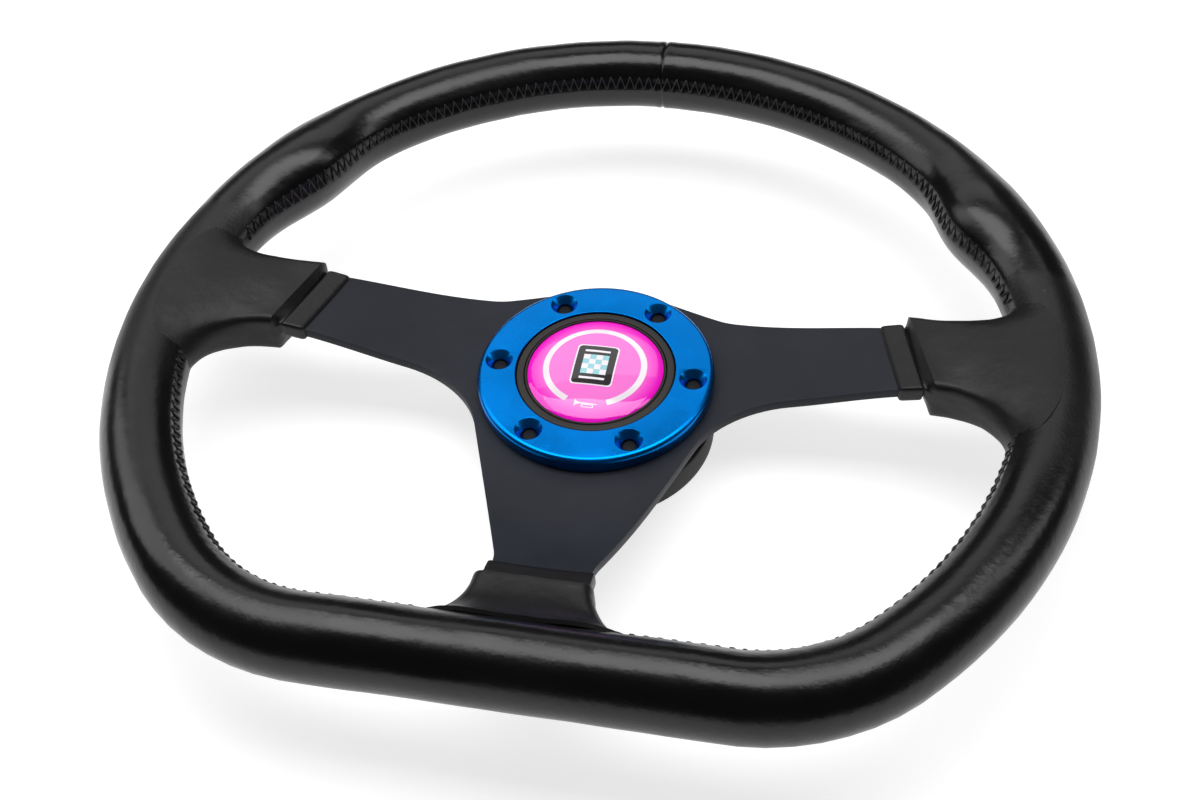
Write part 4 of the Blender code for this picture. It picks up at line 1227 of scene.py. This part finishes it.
        obj = grid_loft("strap_%s_band" % self.frame.spoke.value, 32, self.columns, place)
        tidy(obj, 1e-6)
        smooth(obj, math.radians(50.0))
        return obj

    def build(self, shop: Shop) -> None:
        """Builds and delivers the cover and the strap."""
        name = self.frame.spoke.value
        cover = shop.deliver(self.build_cover(), "spoke_leather", WHEEL, "cover_" + name)
        shop.deliver(self.build_strap(), "spoke_leather", WHEEL, "strap_" + name)


# ---- ring and screws --------------------------------------------------------------------------
@dataclass
class TrimRing:
    """The turned ring with six countersunk holes."""

    inner: float = 0.0300
    outer: float = 0.0445
    rear: float = 0.0283
    front: float = 0.0343
    shoulder: float = 0.0021
    bolt_circle: float = 0.0370
    hole: float = 0.0027
    sink: float = 0.0052

    def build(self, shop: Shop) -> None:
        """Turns the ring, sinks its holes and eases their edges."""
        ease = 0.0003
        corners = [(self.inner, self.rear, ease), (self.outer, self.rear, ease),
                   (self.outer, self.front, self.shoulder), (self.inner, self.front, 0.0004)]
        ring = lathe("trim_ring_turned", rounded(corners, 7), 216)
        low, high = self.rear - 0.003, self.front + 0.003
        cone = self.front - (self.sink - self.hole)
        drill = [(0, low), (self.hole, low), (self.hole, cone), (self.sink, self.front), (self.sink, high),
                 (0, high)]
        for angle in around(BOLT_COUNT):
            cut_away(ring, lathe("drill", drill, 64, at_radius(angle, self.bolt_circle)))
        ease_edges(ring, 0.00014, 2, 38.0)
        smooth(ring)
        shop.deliver(ring, "blue", WHEEL, "trim_ring")


@dataclass
class HubScrews:
    """Six countersunk socket screws, driven from behind."""

    circle: float = 0.0370
    head_radius: float = 0.0046
    head_depth: float = 0.0024
    head_ease: float = 0.0003
    pitch: float = 0.0008
    thread_depth: float = 0.00035
    shank: float = 0.0024
    head_z: float = 0.0190
    tip_z: float = 0.0312
    socket: float = 0.0017
    socket_depth: float = 0.0015

    def build(self, shop: Shop) -> None:
        """Turns one screw with its thread and socket, then copies it round the circle."""
        profile = [(0.0, self.head_z), (self.head_radius - self.head_ease, self.head_z),
                   (self.head_radius, self.head_z + self.head_ease),
                   (self.shank, self.head_z + self.head_depth)]
        height = self.head_z + self.head_depth + self.pitch
        while height < self.tip_z - self.pitch:
            profile += [(self.shank, height), (self.shank - self.thread_depth, height + self.pitch / 2)]
            height += self.pitch
        profile += [(self.shank, height), (self.shank - 0.0006, self.tip_z), (0.0, self.tip_z)]
        screw = lathe("hub_screw_turned_1", profile, SMALL_STEPS, at_radius(0.0, self.circle))
        place = AXIS + Vector((self.circle, 0.0, self.head_z))
        cut_away(screw, primitive("hex_socket", bpy.ops.mesh.primitive_cylinder_add, vertices=6,
                                  radius=self.socket, depth=2 * self.socket_depth, location=place))
        for index, angle in enumerate(around(BOLT_COUNT)):
            name = "hub_screw_turned_%d" % (index + 1)
            piece = screw if index == 0 else copied(screw, name, Matrix.Rotation(angle, 4, "Z"))
            smooth(piece)
            shop.deliver(piece, "screw", WHEEL, "hub_screw_%d" % (index + 1))


# ---- quick release ----------------------------------------------------------------------------
@dataclass
class QuickRelease:
    """The hub, its sliding collar, spring, seat, stop ring, balls and grommet."""

    length: float = 0.0237
    flange_rear: float = 0.0187
    flange: float = 0.0444
    sleeve: float = 0.0311
    socket: float = 0.0235
    socket_depth: float = 0.0131
    web_top: float = 0.0151
    pocket: float = 0.0265
    wire_hole: float = 0.0050
    groove: tuple[float, float, float] = (0.0006, 0.0022, 0.0295)
    ball_radius: float = 0.0045
    ball_circle: float = 0.0266
    ball_z: float = 0.0080
    slot_width: float = 0.0060
    slot_depth: float = 0.0086
    slot_reach: float = 0.0261
    slot_top: float = 0.0119
    bolt_circle: float = 0.0370
    sink: float = 0.0049
    bolt_hole: float = 0.0027

    def build_hub(self) -> bpy.types.Object:
        """Turns the hub and cuts its ball holes, drive slots and screw seats."""
        low, high, root = self.groove
        corners = [(self.socket, 0.0, 0.0006), (self.sleeve, 0.0, 0.0004), (self.sleeve, low, 0.0001),
                   (root, low, 0.0), (root, high, 0.0), (self.sleeve, high, 0.0001),
                   (self.sleeve, self.flange_rear, 0.0008), (self.flange, self.flange_rear, 0.0006),
                   (self.flange, self.length, 0.0006), (self.pocket, self.length, 0.0003),
                   (self.pocket, self.web_top, 0.0004), (self.wire_hole, self.web_top, 0.0),
                   (self.wire_hole, self.socket_depth, 0.0), (self.socket, self.socket_depth, 0.0006)]
        hub = lathe("hub_body_turned", rounded(corners, 4))
        sideways = Matrix.Rotation(math.pi / 2, 4, "Y")
        hole = self.ball_radius + GAP
        drill = [(0, 0.0190), (hole, 0.0190), (hole, 0.0340), (0, 0.0340)]
        for angle in around(BALL_COUNT):
            place = Matrix.Rotation(angle, 4, "Z") @ Matrix.Translation((0, 0, self.ball_z)) @ sideways
            cut_away(hub, lathe("ball_drill", drill, SMALL_STEPS, place))
        for angle in around(BALL_COUNT, math.pi / BALL_COUNT):
            key = primitive("key", bpy.ops.mesh.primitive_cube_add, size=1.0)
            size = Matrix.Diagonal((self.slot_depth, self.slot_width, 2 * self.slot_top, 1.0))
            middle = at_radius(angle, self.slot_reach - self.slot_depth / 2)
            key.data.transform(Matrix.Translation(AXIS) @ middle @ size)
            cut_away(hub, key)
        low = self.flange_rear - 0.0025
        cone = self.flange_rear + GAP
        seat = [(0, low), (self.sink, low), (self.sink, cone),
                (self.bolt_hole, cone + self.sink - self.bolt_hole), (self.bolt_hole, self.length + 0.002),
                (0, self.length + 0.002)]
        for angle in around(BOLT_COUNT):
            cut_away(hub, lathe("seat_drill", seat, SMALL_STEPS, at_radius(angle, self.bolt_circle)))
        ease_edges(hub, 0.00015, 2, 42.0)
        smooth(hub)
        return hub

    def build_collar(self) -> bpy.types.Object:
        """Turns the collar with its finger lip, spring pocket and ball ramp."""
        corners = [(0.0343, 0.0006, 0.0003), (self.flange, 0.0006, 0.0009), (self.flange, 0.0123, 0.0009),
                   (0.0377, 0.0123, 0.0004), (0.0377, 0.0036, 0.0003), (0.0346, 0.0036, 0.0003),
                   (0.0346, 0.0110, 0.0003), (0.0315, 0.0110, 0.0003), (0.0315, 0.0080, 0.0),
                   (0.0329, 0.0030, 0.0), (0.0329, 0.0022, 0.0), (0.0343, 0.0022, 0.0)]
        collar = lathe("release_collar_turned", rounded(corners, 6), 216)
        smooth(collar)
        return collar

    def build(self, shop: Shop) -> None:
        """Builds and delivers every piece of the quick release."""
        shop.deliver(self.build_hub(), "black_anodised", WHEEL, "hub_body")
        shop.deliver(self.build_collar(), "black_anodised", COLLAR, "release_collar")
        seat = lathe("spring_seat_turned", eased([(0.0314, 0.0176), (0.0374, 0.0176), (0.0374, 0.0184),
                                                  (0.0314, 0.0184)], 0.0002))
        smooth(seat)
        shop.deliver(seat, "wire", WHEEL, "spring_seat")
        stop = lathe("stop_ring_turned", eased([(0.0298, 0.0009), (0.0340, 0.0009), (0.0340, 0.0019),
                                                (0.0298, 0.0019)], 0.0002))
        split = primitive("split", bpy.ops.mesh.primitive_cube_add, size=1.0)
        size = Matrix.Diagonal((0.004, 0.009, 0.004, 1))
        split.data.transform(Matrix.Translation(AXIS + Vector((0, 0.0315, 0.0014))) @ size)
        cut_away(stop, split)
        smooth(stop)
        shop.deliver(stop, "wire", WHEEL, "stop_ring")
        half = [(self.ball_radius * math.cos(turn), self.ball_radius * math.sin(turn))
                for turn in np.linspace(-math.pi / 2, math.pi / 2, 25)]
        pole = self.ball_radius * 0.9999
        half = [(max(radius, 0.0) if abs(height) < pole else 0.0, height) for radius, height in half]
        for index, angle in enumerate(around(BALL_COUNT)):
            ball = lathe("lock_ball_ground_%d" % (index + 1), half, SMALL_STEPS,
                         at_radius(angle, self.ball_circle, self.ball_z))
            smooth(ball, math.radians(60.0))
            shop.deliver(ball, "ball", "ball_%d" % (index + 1), "lock_ball_%d" % (index + 1))
        grommet = lathe("wire_grommet_moulded", eased([
            (0.0030, 0.0119), (0.0064, 0.0119), (0.0064, 0.0128), (0.0047, 0.0128), (0.0047, 0.0154),
            (0.0064, 0.0154), (0.0064, 0.0163), (0.0030, 0.0163)], 0.0003), 72)
        smooth(grommet)
        shop.deliver(grommet, "rubber", WHEEL, "wire_grommet")
        coil = coil_spring("collar_spring_coiled", "collar_spring", 0.03615, 0.0009, 3)
        shop.deliver(coil, "wire", WHEEL, "collar_spring")
        squeeze(coil)


def coil_spring(name: str, node: str, radius: float, wire: float, turns: int) -> bpy.types.Object:
    """Winds a round wire along the axis, between the ends that its node has.

    Args:
        name: The coil's name.
        node: The node that it stands for.
        radius: The coil's middle radius.
        wire: The wire's radius.
        turns: How many turns it has.

    Returns:
        The coil.
    """
    low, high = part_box(node)
    coil = primitive(name, bpy.ops.mesh.primitive_circle_add, vertices=14, radius=wire, fill_type="NOTHING")
    upright = Matrix.Translation((radius, 0, low.z + wire)) @ Matrix.Rotation(math.pi / 2, 4, "X")
    coil.data.transform(upright)
    apply_modifier(coil, "SCREW", angle=2 * math.pi * turns, screw_offset=high.z - low.z - 2 * wire,
                   iterations=1, steps=64 * turns, render_steps=64 * turns, use_merge_vertices=False)
    coil.data.transform(Matrix.Translation(AXIS))
    with editing(coil):
        bpy.ops.mesh.fill_holes(sides=0)
    tidy(coil, 1e-7)
    smooth(coil, math.radians(50.0))
    return coil


def squeeze(piece: bpy.types.Object) -> None:
    """Reads a spring's points and gives it a mesh of its own.

    Args:
        piece: The spring.
    """
    points = read_points(piece)
    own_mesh(piece)


# ---- horn push --------------------------------------------------------------------------------
@dataclass
class HornPush:
    """The bezel, the moving cap, the domed face and the thin prints on it."""

    bezel: float = 0.0297
    bezel_top: float = 0.0338
    cap: float = 0.0266
    dome: float = 0.0255
    dome_rear: float = 0.0333
    dome_edge: float = 0.0341
    dome_rise: float = 0.0029
    ring_outer: float = 0.0195
    ring_inner: float = 0.0172
    ring_gap: float = math.radians(24.0)
    badge: tuple[float, float, float] = (0.0080, 0.0100, 0.0016)
    badge_line: float = 0.00055
    check: float = 0.0024
    film: float = 0.00004

    def dome_height(self, x: np.ndarray, y: np.ndarray) -> np.ndarray:
        """Gives the dome's height over a place.

        Args:
            x: Places across, from the steering axis.
            y: Places up the wheel, from the steering axis.

        Returns:
            The heights.
        """
        bow = (self.dome ** 2 + self.dome_rise ** 2) / (2 * self.dome_rise)
        flat = np.minimum(x ** 2 + y ** 2, self.dome ** 2)
        return self.dome_edge + self.dome_rise - bow + np.sqrt(bow ** 2 - flat)

    def printed(self, name: str, points: Profile, layer: int) -> bpy.types.Object:
        """Lays a thin printed shape on the dome.

        Args:
            name: The shape's name.
            points: Its outline, from the steering axis.
            layer: How many films lie under it.

        Returns:
            The shape.
        """
        shape = filled_outline(name, points, 0.0)
        score_grid(shape, 0.0012)
        places = read_points(shape)
        places[:, 2] = self.dome_height(places[:, 0], places[:, 1] - AXIS_Y) + 0.00002 + layer * self.film
        write_points(shape, places)
        tidy(shape, 1e-7)
        if sum(polygon.normal.z for polygon in shape.data.polygons) < 0:
            shape.data.flip_normals()
        apply_modifier(shape, "SOLIDIFY", thickness=self.film * 1.5, offset=0.0)
        smooth(shape)
        return shape

    def build_prints(self, shop: Shop) -> None:
        """Prints the open ring, the horn sign and a plain chequered badge."""
        turns = np.linspace(-math.pi / 2 + self.ring_gap, 1.5 * math.pi - self.ring_gap, 97)
        outer, inner = ([(radius * math.cos(turn), radius * math.sin(turn)) for turn in turns]
                        for radius in (self.ring_outer, self.ring_inner))
        inner.reverse()
        shop.deliver(self.printed("print_ring", outer + inner, 0), "white_print", HORN)
        sign_y = -(self.ring_outer + self.ring_inner) / 2
        bell = [(-0.0043, 0.0016), (-0.0037, 0.0009), (-0.0024, 0.0004), (0.0043, 0.00025), (0.0043, -0.0001),
                (-0.0024, -0.0002), (-0.0037, -0.0007), (-0.0043, -0.0014)]
        horn = self.printed("print_horn", [(x, y + sign_y) for x, y in bell], 0)
        loop_edge = [(-0.0016, -0.0002), (-0.0016, -0.0016), (0.0030, -0.0016), (0.0030, -0.0002)]
        loop_outer = rounded([(x, y, 0.0006) for x, y in loop_edge], 5)
        middle_x, middle_y = 0.0007, -0.0009
        loop_inner = [(middle_x + (x - middle_x) * 0.84, middle_y + (y - middle_y) * 0.52)
                      for x, y in loop_outer]
        ends = loop_outer + [loop_outer[0]] + [loop_inner[0]] + list(reversed(loop_inner))
        loop = self.printed("print_horn_loop", [(x, y + sign_y) for x, y in ends], 0)
        shop.deliver(joined("print_horn", [horn, loop]), "white_print", HORN)
        half_x, half_y, corner = self.badge
        edge = [(half_x, half_y), (-half_x, half_y), (-half_x, -half_y), (half_x, -half_y)]
        outline = rounded([(x, y, corner) for x, y in edge], 6)
        shop.deliver(self.printed("print_badge_edge", outline, 0), "white_print", HORN)
        share = ((half_x - self.badge_line) / half_x, (half_y - self.badge_line) / half_y)
        inside = [(x * share[0], y * share[1]) for x, y in outline]
        shop.deliver(self.printed("print_badge", inside, 1), "grey_print", HORN)
        light, sky = [], []
        for row in range(4):
            for column in range(4):
                x, y = (column - 2) * self.check, (row - 2) * self.check
                square = [(x + self.check, y + self.check), (x, y + self.check), (x, y), (x + self.check, y)]
                kept = light if (row + column) % 2 else sky
                kept.append(self.printed("check", square, 2))
        for sign in (1.0, -1.0):
            low, high = sign * 0.0063, sign * 0.0073
            bar = [(0.0048, high), (-0.0048, high), (-0.0048, low), (0.0048, low)]
            light.append(self.printed("bar", bar, 2))
        shop.deliver(joined("print_check_light", light), "white_print", HORN)
        shop.deliver(joined("print_check_sky", sky), "sky_print", HORN)

    def build(self, shop: Shop) -> None:
        """Builds and delivers the horn push, and dresses what is sealed inside it."""
        bore, barrel, neck, mouth = 0.0232, 0.0252, 0.0244, 0.0269
        corners = [(bore, 0.0170, 0.0002), (barrel, 0.0170, 0.0003), (barrel, 0.01845, 0.0),
                   (neck, 0.01845, 0.0), (neck, 0.02055, 0.0), (barrel, 0.02055, 0.0),
                   (barrel, 0.0283, 0.0002), (self.bezel, 0.0283, 0.0003),
                   (self.bezel, self.bezel_top, 0.0006), (mouth, self.bezel_top, 0.00025),
                   (mouth, 0.0294, 0.0), (bore, 0.0294, 0.0002),
                   (bore, 0.0246, 0.0), (0.0053, 0.0246, 0.0), (0.0053, 0.0232, 0.0), (bore, 0.0232, 0.0)]
        housing = lathe("horn_bezel_turned", rounded(corners, 4), 192)
        smooth(housing)
        shop.deliver(housing, "bezel", WHEEL, "horn_housing")
        rim, lip = self.dome + GAP, self.bezel_top + 0.0001
        corners = [(0.0, 0.0292, 0.0), (0.0017, 0.0292, 0.0), (0.0017, 0.0232, 0.0), (0.0050, 0.0232, 0.0002),
                   (0.0050, 0.0322, 0.0), (self.cap, 0.0322, 0.0002), (self.cap, lip, 0.0004),
                   (rim, lip, 0.0002), (rim, 0.0330, 0.0), (0.0, 0.0330, 0.0)]
        cap = lathe("horn_cap_turned", rounded(corners, 4), 192)
        smooth(cap)
        shop.deliver(cap, "bezel", HORN, "horn_cap")
        profile = [(0.0, self.dome_rear), (self.dome - 0.0002, self.dome_rear),
                   (self.dome, self.dome_rear + 0.0002)]
        for radius in np.linspace(self.dome, 0.0, 30):
            crown = float(self.dome_height(np.array(radius), np.array(0.0)))
            fall = 0.0006 * (max(radius / self.dome, 0.0) ** 22)
            profile.append((float(radius), crown - fall))
        dome = lathe("horn_dome", profile, 192)
        smooth(dome, math.radians(50.0))
        shop.deliver(dome, "dome", HORN, "horn_emblem")
        self.build_prints(shop)
        coil = coil_spring("horn_spring_coiled", "horn_spring", 0.0090, 0.0005, 3)
        shop.deliver(coil, "wire", WHEEL, "horn_spring")
        squeeze(coil)
        for node in ("rivet_live", "rivet_ground", "fixed_contact", "moving_contact"):
            shop.dress_node(node, "brass")
        shop.dress_node("contact_base", "bezel")
        shop.dress_node("contact_screw", "screw")
        shop.dress_node("horn_grip_ring", "rubber")


# ---- studio -----------------------------------------------------------------------------------
@dataclass
class Studio:
    """The pale floor, the soft lights and the camera."""

    eye: tuple[float, float, float] = (0.09418, -0.35887, 0.43694)
    right: tuple[float, float, float] = (0.98049, 0.18804, -0.05730)
    down: tuple[float, float, float] = (0.10426, -0.74457, -0.65935)
    ahead: tuple[float, float, float] = (-0.16665, 0.64051, -0.74965)
    lens: float = 43.94
    floor_size: float = 6.0
    floor_z: float = -0.0001
    floor_glow: float = 0.74

    def build_camera(self) -> None:
        """Sets the camera in front of the wheel and above it, as for a table-top view."""
        data = bpy.data.cameras.new("view")
        data.lens = self.lens
        data.sensor_width = 36.0
        camera = bpy.data.objects.new("view", data)
        columns = [self.right, [-value for value in self.down], [-value for value in self.ahead]]
        place = Matrix([[column[row] for column in columns] for row in range(3)]).to_4x4()
        place.translation = Vector(self.eye) + AXIS
        camera.matrix_world = place
        bpy.context.scene.collection.objects.link(camera)
        bpy.context.scene.camera = camera

    def build_floor(self) -> None:
        """Lays a pale matt floor."""
        bench = NodeBench("pale_floor")
        cloud = bench.noise(3.0, 2.0)
        colour = bench.mix(cloud, (0.45, 0.45, 0.454), (0.47, 0.47, 0.47))
        bench.set(Emission_Color=(1.0, 1.0, 1.0, 1.0), Emission_Strength=self.floor_glow)
        material = bench.finish(colour, bench.ramp(cloud, 0.0, 1.0, 0.55, 0.62), bench.bump(cloud, 0.00001))
        floor = primitive("floor", bpy.ops.mesh.primitive_plane_add, size=self.floor_size,
                          location=(0, 0, self.floor_z))
        floor.data.materials.append(material)

    def add_light(self, name: str, place: Place, aim: Place, size: tuple[float, float], glow: float) -> None:
        """Adds one soft box.

        Args:
            name: The light's name.
            place: Where it stands.
            aim: The point it faces.
            size: Its width and height.
            glow: How bright its face is, where 1 is white.
        """
        data = bpy.data.lights.new(name, "AREA")
        data.shape = "RECTANGLE"
        data.size, data.size_y = size
        data.energy = glow * math.pi * data.size * data.size_y
        light = bpy.data.objects.new(name, data)
        light.location = place
        light.rotation_euler = (Vector(aim) - Vector(place)).to_track_quat("-Z", "Y").to_euler()
        light.visible_camera = False
        bpy.context.scene.collection.objects.link(light)

    def build_lights(self) -> None:
        """Hangs the soft boxes and sets a pale surround."""
        self.add_light("overhead", (-0.08, 0.16, 1.16), (-0.08, 0.15, 0.0), (1.35, 0.62), 4.6)
        self.add_light("left_box", (-0.98, 0.17, 0.84), (0.0, 0.0, 0.05), (0.62, 0.80), 2.2)
        self.add_light("right_strip", (0.86, 0.22, 1.00), (0.0, 0.0, 0.05), (0.24, 0.90), 3.0)
        self.add_light("far_wall", (-0.28, 0.98, 0.92), (0.0, 0.0, 0.03), (1.50, 0.62), 1.15)
        world = bpy.data.worlds.new("surround")
        world.use_nodes = True
        nodes, links = world.node_tree.nodes, world.node_tree.links
        back = nodes["Background"]
        back.inputs["Strength"].default_value = 0.06
        pale = nodes.new("ShaderNodeBackground")
        pale.inputs["Strength"].default_value = 0.92
        seen = nodes.new("ShaderNodeLightPath")
        mix = nodes.new("ShaderNodeMixShader")
        links.new(seen.outputs["Is Camera Ray"], mix.inputs[0])
        for index, shader in enumerate((back, pale), start=1):
            shader.inputs["Color"].default_value = (0.97, 0.98, 1.0, 1.0)
            links.new(shader.outputs[0], mix.inputs[index])
        links.new(mix.outputs[0], nodes["World Output"].inputs["Surface"])
        bpy.context.scene.world = world
        bpy.context.scene.view_settings.view_transform = "Standard"

    def build(self) -> None:
        """Sets up the whole studio."""
        self.build_camera()
        self.build_floor()
        self.build_lights()


# ---- the whole wheel --------------------------------------------------------------------------
def spoke_leathers(plate: SpokePlate, path: RimPath) -> list[SpokeLeather]:
    """Gives the leather of the three spokes, with their own sizes.

    Args:
        plate: The plate that they wrap.
        path: The rim that they run into.

    Returns:
        The three sets of leather.
    """
    pieces = []
    for spoke in (Spoke.LEFT, Spoke.RIGHT):
        pieces.append(SpokeLeather(
            SpokeFrame(spoke, plate), path, slot_start=0.1112, slot_slant=0.277, ridge_start=0.1128,
            ridge_slant=0.330, pivot=0.0268, plate_low=-0.0042, plate_high=0.0254, cover_low=-0.0060,
            cover_high=0.0284, bottom=0.0330, top=0.0502, mouth_low=-0.036, mouth_high=0.041,
            strap_width=0.0086))
    pieces.append(SpokeLeather(
        SpokeFrame(Spoke.BOTTOM, plate), path, slot_start=0.1012, slot_slant=0.0, ridge_start=0.1034,
        ridge_slant=0.0, pivot=0.0, plate_low=-0.017, plate_high=0.017, cover_low=-0.0188, cover_high=0.0188,
        bottom=0.0318, top=0.0452, mouth_low=-0.031, mouth_high=0.034, strap_width=0.0085,
        reach_near=0.004, reach_rim=0.009, mouth_up=math.radians(36.0), mouth_down=math.radians(46.0)))
    return pieces


def main() -> None:
    """Builds the studio and the wheel, one sub-assembly after another."""
    Studio().build()
    shop = Shop()
    path = RimPath()
    plate = SpokePlate()
    Rim(path).build(shop)
    plate.build(shop)
    for leather in spoke_leathers(plate, path):
        leather.build(shop)
    TrimRing().build(shop)
    HubScrews().build(shop)
    QuickRelease().build(shop)
    HornPush().build(shop)


if __name__ == "__main__":
    main()
